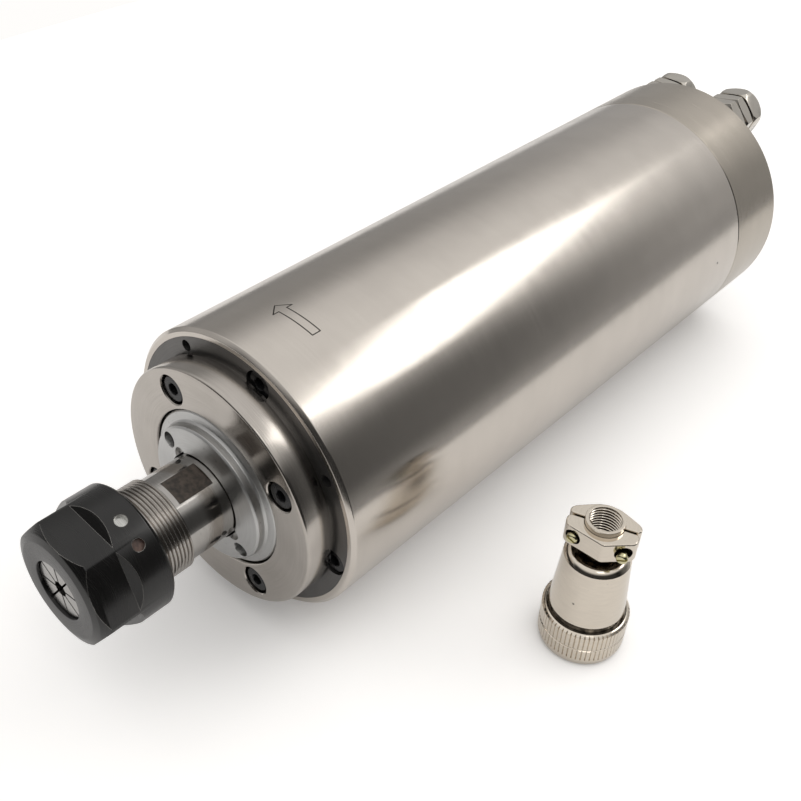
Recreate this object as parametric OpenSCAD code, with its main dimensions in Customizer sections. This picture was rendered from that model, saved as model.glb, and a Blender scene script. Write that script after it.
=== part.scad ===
// Water cooled motor spindle with a collet nose, and its loose cable plug.
// The spindle lies on its side: its axis runs along Y and the nose points to -Y.
// The origin is on the axis, in the plane of the sleeve's front rim.

/* [Body] */
// Outside diameter of the sleeve and the rear cap
body_d = 80; // [79:0.5:86]
// Length of the sleeve
sleeve_l = 186.5; // [184:0.5:240]
// Wall of the sleeve
sleeve_wall = 2.2; // [1.8:0.1:2.6]
// Length of the rear cap
rear_cap_l = 26.5; // [24:0.5:40]
// Thickness of the rear cap's end wall
rear_wall_t = 9; // [8:0.5:11]
// Wall of the water jacket
jacket_wall = 6.1; // [5.6:0.1:6.6]
// Depth of the coolant channels
channel_depth = 2.5; // [1.5:0.1:2.6]
// Number of coolant channels
channel_count = 8; // [5:1:10]

/* [Front end] */
// Thickness of the front housing's disc
front_disc_t = 12; // [10:0.5:15]
// Outside diameter of the front flange
flange_d = 67.2; // [66:0.2:67.4]
// Thickness of the front flange
flange_t = 8.6; // [7.5:0.1:9]
// Bore of the front flange
flange_bore_d = 44.4; // [43.4:0.2:45]
// Circle of the flange screws
flange_screw_circle = 54.8; // [54.6:0.1:56]
// How far the housing screws' centres lie inside the sleeve's bore
housing_screw_inset = 3.8; // [3.7:0.1:4]
// How far the jacking holes' centres lie inside the sleeve's bore
jack_inset = 2.5; // [2.2:0.1:2.6]
// Diameter of the jacking holes
jack_d = 3.2; // [2.5:0.1:3.2]
// Angle of the flange screws from the top, towards +X
flange_clock = -29.3; // [-45:0.1:45]
// Angle of the housing screws from the top, towards +X
housing_clock = 14.3; // [5:0.1:25]
// Gap between the gland ring and the flange's bore
gland_gap = 0.4; // [0.3:0.05:0.6]
// Diameter of the gland ring's front step
gland_step_d = 37.9; // [36:0.1:39]
// How far the gland ring stands out of the flange
gland_out = 3.5; // [2:0.1:5]
// Circle of the spanner holes in the gland ring
spanner_circle = 32.6; // [31.6:0.1:33]

/* [Shaft] */
// How far the shaft reaches in front of the sleeve's rim
nose_reach = 42.4; // [40:0.1:50]
// Diameter of the nose thread
nose_thread_d = 24.8; // [24.4:0.1:25]
// Length of the nose thread
nose_thread_l = 17.6; // [12:0.1:19]
// Diameter of the neck behind the nose thread
neck_d = 23; // [22.5:0.1:23.4]
// Distance across the two wrench flats
flat_af = 21.8; // [21:0.1:22.4]
// Length of the wrench flats
flat_l = 10; // [8:0.1:10.5]
// Angle of the wrench flats from the top, towards +X
flat_clock = 14.7; // [-45:0.1:45]
// Diameter of the rotor core
rotor_d = 36; // [34:0.5:37]
// Length of the rotor and stator cores
core_l = 90; // [70:1:92]
// Gap between the rotor and the stator
air_gap = 0.4; // [0.3:0.05:0.6]
// Number of stator slots
slot_count = 24; // [12:6:24]

/* [Collet and nut] */
// Tool shank held by the collet
tool_d = 4; // [4:0.5:8]
// Length of the collet
collet_l = 31.5; // [30:0.5:33]
// Largest diameter of the collet
collet_d = 21; // [20.6:0.1:21.2]
// Width of the collet's slots
slot_w = 0.5; // [0.3:0.1:0.5]
// How far the collet stands out of the shaft
collet_out = 11.2; // [10.8:0.1:11.8]
// Outside diameter of the nut
nut_d = 33.4; // [32.8:0.1:34]
// Length of the nut
nut_l = 20.3; // [19:0.1:22]
// Distance across the nut's hexagon
nut_af = 29.5; // [28.8:0.1:30]
// Length of the nut's hexagon
nut_hex_l = 10; // [8:0.1:10.4]
// Opening in the nut's front face
nut_mouth_d = 15.6; // [15.4:0.1:16]
// Angle of one corner of the nut from the top, towards +X
nut_clock = 37.3; // [0:0.1:60]

/* [Hose unions] */
// How far the unions' axes lie inside the body's outside
union_inset = 9.4; // [9.2:0.1:10]
// Angle of the first union from the top, towards +X
union_a_clock = -29.5; // [-40:0.1:-20]
// Angle of the second union from the top, towards +X
union_b_clock = 19; // [10:0.1:30]
// Distance across the hexagons
union_af = 16; // [15:0.1:16]
// Outside diameter of the hose
hose_d = 8; // [6:0.5:8]

/* [Cable plug] */
// Place of the loose plug along X
plug_x = 78.2; // [70:0.1:120]
// Place of the loose plug along Y
plug_y = 48.5; // [20:0.1:120]
// Turn of the loose plug about its own axis
plug_turn = 19; // [-180:1:180]
// Height of the plug
plug_h = 43.5; // [42:0.5:50]
// Diameter of the coupling ring
ring_d = 23; // [22.6:0.1:25]
// Height of the coupling ring
ring_h = 13; // [12:0.5:16]
// Bore of the cable entry
entry_d = 9; // [7:0.1:9.2]
// Distance of the receptacle from the spindle's axis
receptacle_radius = 15; // [13:0.1:16]

/* [Hidden] */
$fn = 96;
// Slack that lets a cut pass through a face
cut = 1;
// Radial gap of a close seat
seat = 0.03;
// Radial gap of a thread or a free hole
thread_gap = 0.15;

// Radii of the body, from the outside in
body_r = body_d/2;
sleeve_bore_r = body_r - sleeve_wall;
jacket_r = sleeve_bore_r - 2*seat;
jacket_bore_r = jacket_r - jacket_wall;
stator_r = jacket_bore_r - seat;
rotor_r = rotor_d/2;
stator_bore_r = rotor_r + air_gap;
housing_screw_radius = sleeve_bore_r - housing_screw_inset;
jack_radius = sleeve_bore_r - jack_inset;
union_radius = body_r - union_inset;

// Screws, metric 4
screw_r = 2;
screw_head_r = 3.5;
screw_head_h = 4;
screw_hole_r = screw_r + 0.2;
screw_tap_r = screw_r + 0.05;
screw_sink_r = screw_head_r + 0.35;
screw_sink_depth = screw_head_h + 0.6;
hex_key_af = 3;
hex_key_depth = 2.4;
thread_depth = 8;
thread_spare = 1;

// Front bearings, 25 by 47 by 12
front_shaft_r = 12.5;
front_ring_r = 23.5;
front_ring_w = 12;
front_ball_r = 3.175;
front_ball_count = 13;
front_pitch_r = (front_shaft_r + front_ring_r)/2;
front_spacer_w = 2;
land = 2.3;
spacer_step = 0.5;
ball_gap = 0.06;
cage_half_t = 1.5;
cage_inset = 1;
spigot_l = 3.8;
front_pair_l = 2*front_ring_w + front_spacer_w;
front_row_y = [spigot_l, spigot_l + front_ring_w + front_spacer_w];
front_hub_l = spigot_l + front_pair_l + 3;

// Rear bearing, 15 by 32 by 9
rear_shaft_r = 7.5;
rear_ring_r = 16;
rear_ring_w = 9;
rear_ball_r = 2.38;
rear_ball_count = 11;
rear_pitch_r = (rear_shaft_r + rear_ring_r)/2;
rear_land = 1.65;
rear_cage_half_t = 1.1;
rear_shoulder = 2.3;
spring_w = 1;

// Places along the axis
spigot_depth = 4.5;
rear_disc_t = 10;
rear_disc_end = sleeve_l - spigot_depth;
rear_disc_y = rear_disc_end - rear_disc_t;
rear_hub_y = rear_disc_y - 6;
rear_lip = 2.5;
rear_row_y = rear_hub_y + rear_lip + spring_w;
rear_row_end = rear_row_y + rear_ring_w;
rear_hub_wall = 5;
lock_nut_l = 5.5;
lock_nut_wall = 4;
lock_slot_w = 2.4;
lock_slot_depth = 1;
shaft_end = rear_row_end + lock_nut_l + 2;
body_l = sleeve_l + rear_cap_l;
core_y = (front_hub_l + rear_hub_y)/2 - core_l/2 - 2;
core_end = core_y + core_l;
end_ring_l = 6;
end_turn_l = 9;
shoulder_r = 15.2;
core_seat_r = front_shaft_r + 0.5;

// Stator slots and coils
stator_slot_w = 2.6;
back_iron = 0.394*(stator_r - stator_bore_r);
slot_mouth_w = 1.2;
tooth_tip = 1;
stator_slot_depth = stator_r - back_iron - stator_bore_r - tooth_tip;
coil_w = 2.2;
coil_gap = 0.4;
coil_depth = stator_slot_depth - 1.5*coil_gap;
coil_r = stator_bore_r + tooth_tip + coil_gap;
end_turn_gap = 0.2;
end_turn_edge = 1.5;
end_turn_ri = coil_r - 0.1;
end_turn_ro = stator_r - 0.885*back_iron;

// Water jacket
seal_wire_r = 0.74;
seal_floor_r = sleeve_bore_r - 2*seal_wire_r - 0.06;
seal_w = 2.4;
seal_inset = 3;
channel_inset = 9;
channel_land = 4;
jacket_l = rear_disc_y - front_disc_t;
channel_pitch = (jacket_l - 2*channel_inset + channel_land)/channel_count;
channel_floor_r = jacket_r - channel_depth;
crossing_w = 9;
passage_r = 1.9;
passage_radius = jacket_bore_r + passage_r + 0.7;
feed_r = 1.2;
feed_radius = jacket_bore_r + feed_r + 0.4;

// Flange and gland
flange_r = flange_d/2;
flange_neck_r = flange_r - 1;
flange_neck_t = 1.2;
flange_edge = 0.7;
flange_bore_edge = 0.4;
flange_sink_r = screw_sink_r + 0.2;
gland_face = -flange_t - gland_out;
gland_rim = -flange_t + 0.4;
gland_seat = -flange_t + 0.4;
gland_r = flange_bore_d/2 - gland_gap;
gland_mouth_r = 12.9;
gland_slope = 0.8;
spanner_r = 2.1;
spanner_depth = 3;
spanner_clock = -49;
notch_r = 1.1;
notch_clocks = [-41, 121];
notch_depth = 1.6;

// Shaft nose, collet and nut
shaft_face = -nose_reach;
nose_thread_r = nose_thread_d/2;
nose_thread_end = shaft_face + nose_thread_l;
neck_r = neck_d/2;
flat_y = nose_thread_end + 1.2;
collet_face = shaft_face - collet_out;
collet_sink = 0.8;
collet_nose_r = nut_mouth_d/2 - 0.3;
collet_nose_l = 1.6;
collet_cone_l = (collet_d/2 - collet_nose_r)/tan(30);
collet_groove_y = collet_nose_l + collet_cone_l + 0.5;
collet_groove_w = 2;
collet_groove_r = collet_d/2 - 1.7;
collet_taper_y = collet_groove_y + collet_groove_w + 0.3;
collet_taper_r = collet_d/2 - 0.2;
collet_taper = 8;
collet_tail_r = collet_taper_r - (collet_l - collet_taper_y)*tan(collet_taper);
collet_slots = 8;
collet_slot_l = collet_l - 5.5;
nut_face = collet_face - collet_sink;
nut_end = nut_face + nut_l;
nut_ramp = 45;
nut_step = shaft_face - 0.2;
nut_thread_r = nose_thread_r + thread_gap;
nut_face_r = 12.9;
nut_shoulder_r = 14.8;
nut_shoulder_l = 0.6;
nut_bevel = 43;
nut_r = nut_d/2;
nut_edge = 0.8;
nut_ring_gap = 0.25;
balance_r = 1.5;
balance_depth = 0.9;
balance_clocks = [21, 44];
balance_y = nut_end - 5.1;
draw_bore_r = 5.5;
draw_bore_l = 14;

// Rear cap
cap_cavity_r = body_r - 9;
cap_screw_radius = (cap_cavity_r + jacket_r)/2;
cap_screw_clock = (union_a_clock + union_b_clock)/2 + 45;
cap_wall_y = body_l - rear_wall_t;
rim_edge = 1;
seam_edge = 0.25;
lead_hole_r = 4;
lead_hole_radius = rear_ring_r + 8;

// Hose unions, measured from the rear face
union_thread_r = 4.85;
union_thread_l = 8;
seal_t = 1.2;
lock_nut_t = 4.8;
union_hex_y = seal_t + lock_nut_t + 0.4;
union_hex_t = 4.6;
union_nose_r = 5.9;
union_nose_l = 6.3;
union_nose_y = union_hex_y + union_hex_t;
union_nut_y = union_nose_y + 1;
union_nut_l = 8;
union_nut_lip = 1.6;
hose_r = hose_d/2 + 0.1;
hose_depth = 5.5;
union_bore_r = 2.5;
ferrule_l = union_nut_y + union_nut_l - union_nut_lip - union_nose_y - union_nose_l - 0.1;

// Receptacle, measured from the rear face
receptacle_clock = (union_a_clock + union_b_clock)/2 + 180;
receptacle_thread_r = 9.4;
receptacle_barrel_l = 12;
receptacle_flange_r = 12.5;
receptacle_flange_t = 2;
receptacle_body_r = 8.9;
receptacle_back = rear_wall_t + 5;
receptacle_bore_r = 8;
receptacle_nut_t = 3;
receptacle_nut_af = 22;
pin_r = 1;
pin_circle_r = 4.8;
pin_count = 4;
pin_clock = 45;
pin_tip = receptacle_barrel_l - 1;
pin_tail = receptacle_back + 3;
insulator_front = 4;
socket_r = pin_r + 0.5;
socket_l = 14;
socket_bore_r = pin_r + 0.1;
socket_bore_l = 8;

// Plug, measured from the floor
floor_z = -body_r;
ring_r = ring_d/2;
ring_thread_r = receptacle_thread_r + thread_gap;
ring_groove_z = ring_h*0.5;
ring_lip_t = 2;
ring_neck_r = 9.4;
ring_relief = 0.8;
ring_relief_h = 1.6;
shell_flange = 0.5;
shell_flange_t = 1.4;
shell_foot_z = 1.2;
shell_barrel_r = 9.1;
shell_bore_r = 7.7;
shell_cone_r = 10;
shell_top_r = 8.6;
shell_cone_z = ring_h + 0.3;
shell_top_z = plug_h - 11;
shell_edge = 1.5;
shell_dish_r = shell_top_r - 1.6;
shell_dish_depth = 1.4;
entry_r = entry_d/2;
neck_tube_r = entry_r + 0.5;
clamp_z = plug_h - 8.3;
clamp_t = 6.1;
clamp_gap = 0.6;
clamp_half_w = 9.1;
clamp_screw_x = 6.4;
clamp_screw_r = 0.9;
clamp_screw_l = 8;
clamp_screw_out = [2.2, 3.6];
clamp_seat_depth = 2.6;
clamp_sink_r = 2;
clamp_driver_w = 0.5;
clamp_driver_depth = 0.6;
clamp_head_r = 1.5;
clamp_head_h = 1.3;
clamp_grip = 0.12;

// A solid turned about the spindle's axis: the outline holds radius and place along Y
module turned(outline) {
    rotate([-90, 0, 0])
        rotate_extrude()
            polygon(outline);
}

// A round bar along Y
module bar(r, from, to) {
    translate([0, from, 0])
        rotate([-90, 0, 0])
            cylinder(r = r, h = to - from);
}

// A tube along Y
module tube(ro, ri, from, to) {
    difference() {
        bar(ro, from, to);
        bar(ri, from - cut, to + cut);
    }
}

// A hexagonal bar along Y with one corner up
module hex_bar(af, from, to) {
    translate([0, from, 0])
        rotate([-90, 0, 0])
            rotate(90)
                cylinder(r = af/sqrt(3), h = to - from, $fn = 6);
}

// Children moved out from the axis to a radius, at an angle from the top towards +X
module at_clock(radius, clock) {
    rotate([0, clock, 0])
        translate([0, 0, radius])
            children();
}

// Children repeated evenly round the axis
module around(count, radius, clock) {
    for (i = [0:count - 1])
        at_clock(radius, clock + i*360/count)
            children();
}

// A ring groove with a round section, for balls
module race(pitch_r, ball_r, y) {
    translate([0, y, 0])
        rotate([-90, 0, 0])
            rotate_extrude()
                translate([pitch_r, 0])
                    circle(r = ball_r + ball_gap, $fn = 48);
}

// A socket head cap screw along Y, with its head at the -Y end
module cap_screw(seat_y, length) {
    difference() {
        union() {
            bar(screw_head_r, seat_y - screw_head_h, seat_y);
            bar(screw_r, seat_y - cut, seat_y + length);
        }
        hex_bar(hex_key_af, seat_y - screw_head_h - cut, seat_y - screw_head_h + hex_key_depth);
    }
}

// Housing

module sleeve() {
    color([0.72, 0.70, 0.67])
        turned([
            [sleeve_bore_r, 0],
            [body_r - rim_edge, 0],
            [body_r, rim_edge],
            [body_r, sleeve_l - seam_edge],
            [body_r - seam_edge, sleeve_l],
            [sleeve_bore_r, sleeve_l]
        ]);
}

// One coolant channel and its crossing to the next one
module channel(index) {
    start = front_disc_t + channel_inset + index*channel_pitch;
    width = channel_pitch - channel_land;
    tube(jacket_r + cut, channel_floor_r, start, start + width);
    if (index < channel_count - 1)
        at_clock(channel_floor_r, 180*(index % 2))
            translate([-crossing_w/2, start + width - cut, 0])
                cube([crossing_w, channel_land + 2*cut, channel_depth + cut]);
}

module water_jacket() {
    last_channel = rear_disc_y - channel_inset;
    color([0.75, 0.76, 0.78])
        difference() {
            tube(jacket_r, jacket_bore_r, front_disc_t, rear_disc_y);
            for (i = [0:channel_count - 1])
                channel(i);
            for (y = [front_disc_t + seal_inset, rear_disc_y - seal_inset - seal_w])
                tube(jacket_r + cut, seal_floor_r, y, y + seal_w);
            around(4, housing_screw_radius, housing_clock)
                bar(screw_tap_r, front_disc_t - cut, front_disc_t + thread_depth);
            at_clock(passage_radius, union_b_clock)
                bar(passage_r, last_channel - 2, rear_disc_y + cut);
            at_clock(feed_radius, union_a_clock)
                bar(feed_r, front_disc_t + channel_inset + 2, rear_disc_y + cut);
            at_clock(feed_radius, union_a_clock)
                translate([0, front_disc_t + channel_inset + 3, 0])
                    cylinder(r = feed_r, h = jacket_wall);
        }
}

module jacket_seals() {
    color([0.1, 0.1, 0.1])
        for (y = [front_disc_t + seal_inset + seal_w/2, rear_disc_y - seal_inset - seal_w/2])
            translate([0, y, 0])
                rotate([-90, 0, 0])
                    rotate_extrude()
                        translate([sleeve_bore_r - seal_wire_r - 0.03, 0])
                            circle(r = seal_wire_r, $fn = 32);
}

module front_housing() {
    color([0.32, 0.32, 0.33])
        difference() {
            union() {
                bar(jacket_r, 0, front_disc_t);
                bar(stator_r, front_disc_t - cut, front_hub_l);
            }
            bar(front_ring_r + seat, -cut, spigot_l + front_pair_l);
            bar(front_ring_r - land, -cut, front_hub_l + cut);
            around(4, flange_screw_circle/2, flange_clock)
                bar(screw_tap_r, -cut, thread_depth + 2*thread_spare);
            around(4, housing_screw_radius, housing_clock) {
                bar(screw_sink_r, -cut, screw_sink_depth);
                bar(screw_hole_r, 0, front_disc_t + cut);
            }
            around(4, jack_radius, flange_clock)
                bar(jack_d/2, -cut, front_disc_t + cut);
        }
}

module housing_screws() {
    color([0.09, 0.09, 0.09])
        around(4, housing_screw_radius, housing_clock)
            cap_screw(screw_sink_depth, front_disc_t - screw_sink_depth + thread_depth - thread_spare);
}

module front_flange() {
    bore_r = flange_bore_d/2;
    color([0.66, 0.62, 0.58])
        difference() {
            turned([
                [bore_r, spigot_l],
                [bore_r, -flange_t + flange_bore_edge],
                [bore_r + flange_bore_edge, -flange_t],
                [flange_r - flange_edge, -flange_t],
                [flange_r, -flange_t + flange_edge],
                [flange_r, -flange_neck_t],
                [flange_neck_r, -flange_neck_t],
                [flange_neck_r, 0],
                [front_ring_r - seat, 0],
                [front_ring_r - seat, spigot_l]
            ]);
            around(4, flange_screw_circle/2, flange_clock) {
                bar(flange_sink_r, -flange_t - cut, -flange_t + screw_sink_depth);
                bar(screw_hole_r, -flange_t, cut);
            }
        }
}

module flange_screws() {
    color([0.09, 0.09, 0.09])
        around(4, flange_screw_circle/2, flange_clock)
            cap_screw(-flange_t + screw_sink_depth, flange_t - screw_sink_depth + thread_depth);
}

// Front bearings

module front_outer_rings() {
    color([0.7, 0.7, 0.72])
        for (y = front_row_y)
            difference() {
                tube(front_ring_r, front_pitch_r + land, y, y + front_ring_w);
                race(front_pitch_r, front_ball_r, y + front_ring_w/2);
            }
}

module front_outer_spacer() {
    y = front_row_y[0] + front_ring_w;
    color([0.6, 0.6, 0.62])
        tube(front_ring_r, front_pitch_r + land + spacer_step, y, y + front_spacer_w);
}

module front_balls() {
    color([0.85, 0.85, 0.87])
        for (y = front_row_y)
            around(front_ball_count, front_pitch_r, 0)
                translate([0, y + front_ring_w/2, 0])
                    sphere(r = front_ball_r, $fn = 32);
}

module front_cages() {
    color([0.55, 0.38, 0.2])
        for (y = front_row_y)
            difference() {
                tube(front_pitch_r + cage_half_t, front_pitch_r - cage_half_t, y + cage_inset,
                    y + front_ring_w - cage_inset);
                around(front_ball_count, front_pitch_r, 0)
                    translate([0, y + front_ring_w/2, 0])
                        sphere(r = front_ball_r + ball_gap, $fn = 32);
            }
}

module front_inner_rings() {
    color([0.7, 0.7, 0.72])
        for (y = front_row_y)
            difference() {
                tube(front_pitch_r - land, front_shaft_r + seat, y, y + front_ring_w);
                race(front_pitch_r, front_ball_r, y + front_ring_w/2);
            }
}

module front_inner_spacer() {
    y = front_row_y[0] + front_ring_w;
    color([0.6, 0.6, 0.62])
        tube(front_pitch_r - land - spacer_step, front_shaft_r + seat, y, y + front_spacer_w);
}

// Shaft and what turns with it

module gland() {
    color([0.7, 0.71, 0.72])
        difference() {
            turned([
                [front_shaft_r + seat, spigot_l],
                [front_shaft_r + seat, gland_seat],
                [gland_mouth_r, gland_seat],
                [gland_mouth_r, gland_face],
                [gland_step_d/2 - 0.5, gland_face + gland_slope - 0.1],
                [gland_step_d/2, gland_face + gland_slope + 0.4],
                [gland_step_d/2, gland_rim - 0.9],
                [gland_step_d/2 + 0.5, gland_rim - 0.3],
                [gland_r - 0.4, gland_rim],
                [gland_r, gland_rim + 0.4],
                [gland_r, spigot_l - 0.5],
                [front_pitch_r - land - 0.3, spigot_l - 0.5],
                [front_pitch_r - land - 0.3, spigot_l]
            ]);
            around(2, spanner_circle/2, spanner_clock)
                bar(spanner_r, gland_face - cut, gland_face + gland_slope/2 + spanner_depth);
            for (clock = notch_clocks)
                at_clock(gland_mouth_r, clock)
                    bar(notch_r, gland_face - cut, gland_face + notch_depth);
        }
}

// The two ground flats for the wrench
module wrench_flats() {
    for (side = [0, 180])
        at_clock(flat_af/2, flat_clock + side)
            translate([-neck_r, flat_y, 0])
                cube([2*neck_r, flat_l, neck_r]);
}

// The tapered seat in the nose, for a collet pushed in by collet_l
module collet_seat(gap) {
    mouth_y = collet_out;
    mouth_r = collet_taper_r - (mouth_y - collet_taper_y)*tan(collet_taper) + gap;
    turned([
        [0, shaft_face - cut],
        [mouth_r + cut*tan(collet_taper), shaft_face - cut],
        [collet_tail_r + gap, collet_face + collet_l],
        [draw_bore_r, collet_face + collet_l + 1.5],
        [draw_bore_r, collet_face + collet_l + draw_bore_l],
        [0, collet_face + collet_l + draw_bore_l + draw_bore_r/2]
    ]);
}

module shaft() {
    color([0.68, 0.67, 0.66])
        difference() {
            turned([
                [0, shaft_face],
                [nose_thread_r - 0.6, shaft_face],
                [nose_thread_r, shaft_face + 0.6],
                [nose_thread_r, nose_thread_end - 0.5],
                [neck_r, nose_thread_end],
                [neck_r, gland_seat + 0.1],
                [front_shaft_r, gland_seat + 0.1],
                [front_shaft_r, spigot_l + front_pair_l],
                [shoulder_r, spigot_l + front_pair_l],
                [shoulder_r, core_y - end_ring_l],
                [core_seat_r, core_y - end_ring_l],
                [core_seat_r, core_end + end_ring_l],
                [rear_shaft_r + rear_shoulder, core_end + end_ring_l + 3],
                [rear_shaft_r + rear_shoulder, rear_row_y],
                [rear_shaft_r, rear_row_y],
                [rear_shaft_r, shaft_end - 0.6],
                [rear_shaft_r - 0.6, shaft_end],
                [0, shaft_end]
            ]);
            wrench_flats();
            collet_seat(seat);
        }
}

module rotor_core() {
    color([0.45, 0.46, 0.48])
        tube(rotor_r, core_seat_r + seat, core_y, core_end);
}

module rotor_end_rings() {
    color([0.8, 0.8, 0.8])
        for (y = [core_y - end_ring_l, core_end])
            tube(rotor_r - 1, core_seat_r + seat, y, y + end_ring_l);
}

module rear_lock_nut() {
    color([0.2, 0.2, 0.2])
        difference() {
            tube(rear_shaft_r + lock_nut_wall, rear_shaft_r + seat, rear_row_end,
                rear_row_end + lock_nut_l);
            around(4, rear_shaft_r + lock_nut_wall - lock_slot_depth, 0)
                translate([-lock_slot_w/2, rear_row_end - cut, 0])
                    cube([lock_slot_w, lock_nut_l + 2*cut, lock_slot_depth + cut]);
        }
}

// Stator

module stator_core() {
    color([0.42, 0.43, 0.45])
        difference() {
            tube(stator_r, stator_bore_r, core_y, core_end);
            around(slot_count, 0, 0) {
                translate([-stator_slot_w/2, core_y - cut, stator_bore_r + tooth_tip])
                    cube([stator_slot_w, core_l + 2*cut, stator_slot_depth]);
                translate([-slot_mouth_w/2, core_y - cut, stator_bore_r - cut])
                    cube([slot_mouth_w, core_l + 2*cut, tooth_tip + 2*cut]);
            }
        }
}

module stator_winding() {
    color([0.62, 0.3, 0.14])
        union() {
            for (y = [core_y - end_turn_gap - end_turn_l, core_end + end_turn_gap])
                turned([
                    [end_turn_ri, y],
                    [end_turn_ri, y + end_turn_l],
                    [end_turn_ro - end_turn_edge, y + end_turn_l],
                    [end_turn_ro, y + end_turn_l - end_turn_edge],
                    [end_turn_ro, y + end_turn_edge],
                    [end_turn_ro - end_turn_edge, y]
                ]);
            around(slot_count, 0, 0)
                translate([-coil_w/2, core_y - cut, coil_r])
                    cube([coil_w, core_l + 2*cut, coil_depth]);
        }
}

// Rear bearing and housing

module rear_housing() {
    color([0.62, 0.62, 0.62])
        difference() {
            union() {
                bar(jacket_r, rear_disc_y, rear_disc_end);
                bar(rear_ring_r + rear_hub_wall, rear_hub_y, rear_disc_y + cut);
            }
            bar(rear_ring_r - 2.4, rear_hub_y - cut, rear_disc_end);
            bar(rear_ring_r + seat, rear_hub_y + rear_lip, rear_disc_end + cut);
            around(4, cap_screw_radius, cap_screw_clock)
                bar(screw_tap_r, rear_disc_end - thread_depth, rear_disc_end + cut);
            for (clock = [union_a_clock, union_b_clock])
                at_clock(passage_radius, clock)
                    bar(passage_r, rear_disc_y - cut, rear_disc_end + cut);
            at_clock(lead_hole_radius, receptacle_clock)
                bar(lead_hole_r, rear_disc_y - cut, rear_disc_end + cut);
        }
}

module rear_outer_ring() {
    color([0.7, 0.7, 0.72])
        difference() {
            tube(rear_ring_r, rear_pitch_r + rear_land, rear_row_y, rear_row_end);
            race(rear_pitch_r, rear_ball_r, rear_row_y + rear_ring_w/2);
        }
}

module rear_balls() {
    color([0.85, 0.85, 0.87])
        around(rear_ball_count, rear_pitch_r, 0)
            translate([0, rear_row_y + rear_ring_w/2, 0])
                sphere(r = rear_ball_r, $fn = 32);
}

module rear_cage() {
    color([0.55, 0.38, 0.2])
        difference() {
            tube(rear_pitch_r + rear_cage_half_t, rear_pitch_r - rear_cage_half_t, rear_row_y + cage_inset,
                rear_row_end - cage_inset);
            around(rear_ball_count, rear_pitch_r, 0)
                translate([0, rear_row_y + rear_ring_w/2, 0])
                    sphere(r = rear_ball_r + ball_gap, $fn = 32);
        }
}

module rear_inner_ring() {
    color([0.7, 0.7, 0.72])
        difference() {
            tube(rear_pitch_r - rear_land, rear_shaft_r + seat, rear_row_y, rear_row_end);
            race(rear_pitch_r, rear_ball_r, rear_row_y + rear_ring_w/2);
        }
}

module preload_spring() {
    color([0.5, 0.5, 0.52])
        tube(rear_ring_r - 0.1, rear_ring_r - 2.2, rear_row_y - spring_w, rear_row_y);
}

module rear_cap() {
    color([0.7, 0.67, 0.63])
        difference() {
            turned([
                [0, body_l],
                [body_r - rim_edge, body_l],
                [body_r, body_l - rim_edge],
                [body_r, sleeve_l + seam_edge],
                [body_r - seam_edge, sleeve_l],
                [jacket_r, sleeve_l],
                [jacket_r, rear_disc_end],
                [cap_cavity_r, rear_disc_end],
                [cap_cavity_r, cap_wall_y],
                [0, cap_wall_y]
            ]);
            around(4, cap_screw_radius, cap_screw_clock) {
                bar(screw_sink_r, body_l - screw_sink_depth, body_l + cut);
                bar(screw_hole_r, rear_disc_end - cut, body_l);
            }
            for (clock = [union_a_clock, union_b_clock]) {
                at_clock(union_radius, clock)
                    bar(union_thread_r + 0.05, body_l - union_thread_l - 0.5, body_l + cut);
                at_clock(passage_radius, clock)
                    bar(passage_r, rear_disc_end - cut, body_l - union_thread_l);
            }
            at_clock(receptacle_radius, receptacle_clock)
                bar(receptacle_body_r + 0.1, cap_wall_y - cut, body_l + cut);
        }
}

module rear_cap_screws() {
    shank = body_l - screw_sink_depth - rear_disc_end + thread_depth - thread_spare;
    color([0.09, 0.09, 0.09])
        around(4, cap_screw_radius, cap_screw_clock)
            translate([0, body_l, 0])
                mirror([0, 1, 0])
                    cap_screw(screw_sink_depth, shank);
}

// Collet and nut

// The collet's outline, with its front face at y = 0
function collet_outline() = [
    [0, 0],
    [collet_nose_r, 0],
    [collet_nose_r, collet_nose_l],
    [collet_d/2, collet_nose_l + collet_cone_l],
    [collet_d/2, collet_groove_y],
    [collet_groove_r, collet_groove_y],
    [collet_groove_r, collet_groove_y + collet_groove_w],
    [collet_taper_r, collet_taper_y],
    [collet_tail_r, collet_l],
    [0, collet_l]
];

module collet() {
    color([0.6, 0.6, 0.6])
        translate([0, collet_face, 0])
            difference() {
                turned(collet_outline());
                bar(tool_d/2, -cut, collet_l + cut);
                around(collet_slots, 0, nut_clock)
                    translate([-slot_w/2, -cut, 0])
                        cube([slot_w, collet_slot_l + cut, collet_d]);
                around(collet_slots, 0, nut_clock + 180/collet_slots)
                    translate([-slot_w/2, collet_l - collet_slot_l, 0])
                        cube([slot_w, collet_slot_l + cut, collet_d]);
            }
}

// The hollow of the nut: a mouth, the closing cone, a puller ring and the thread
module nut_hollow() {
    gap = 0.05;
    ring_y = collet_face + collet_groove_y + nut_ring_gap;
    ring_end = collet_face + collet_groove_y + collet_groove_w - nut_ring_gap;
    wide_r = collet_d/2 + nut_ring_gap;
    turned([
        [0, nut_face - cut],
        [nut_mouth_d/2, nut_face - cut],
        [nut_mouth_d/2, collet_face + collet_nose_l + 0.25],
        [collet_d/2 + gap, collet_face + collet_nose_l + collet_cone_l - gap],
        [wide_r, collet_face + collet_nose_l + collet_cone_l],
        [wide_r, ring_y],
        [collet_groove_r + nut_ring_gap, ring_y],
        [collet_groove_r + nut_ring_gap, ring_end],
        [wide_r, ring_end],
        [wide_r, nut_step],
        [nut_thread_r, nut_step],
        [nut_thread_r, nut_end - 0.6],
        [nut_thread_r + 0.6, nut_end + 0.01],
        [0, nut_end + 0.01]
    ]);
}

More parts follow.
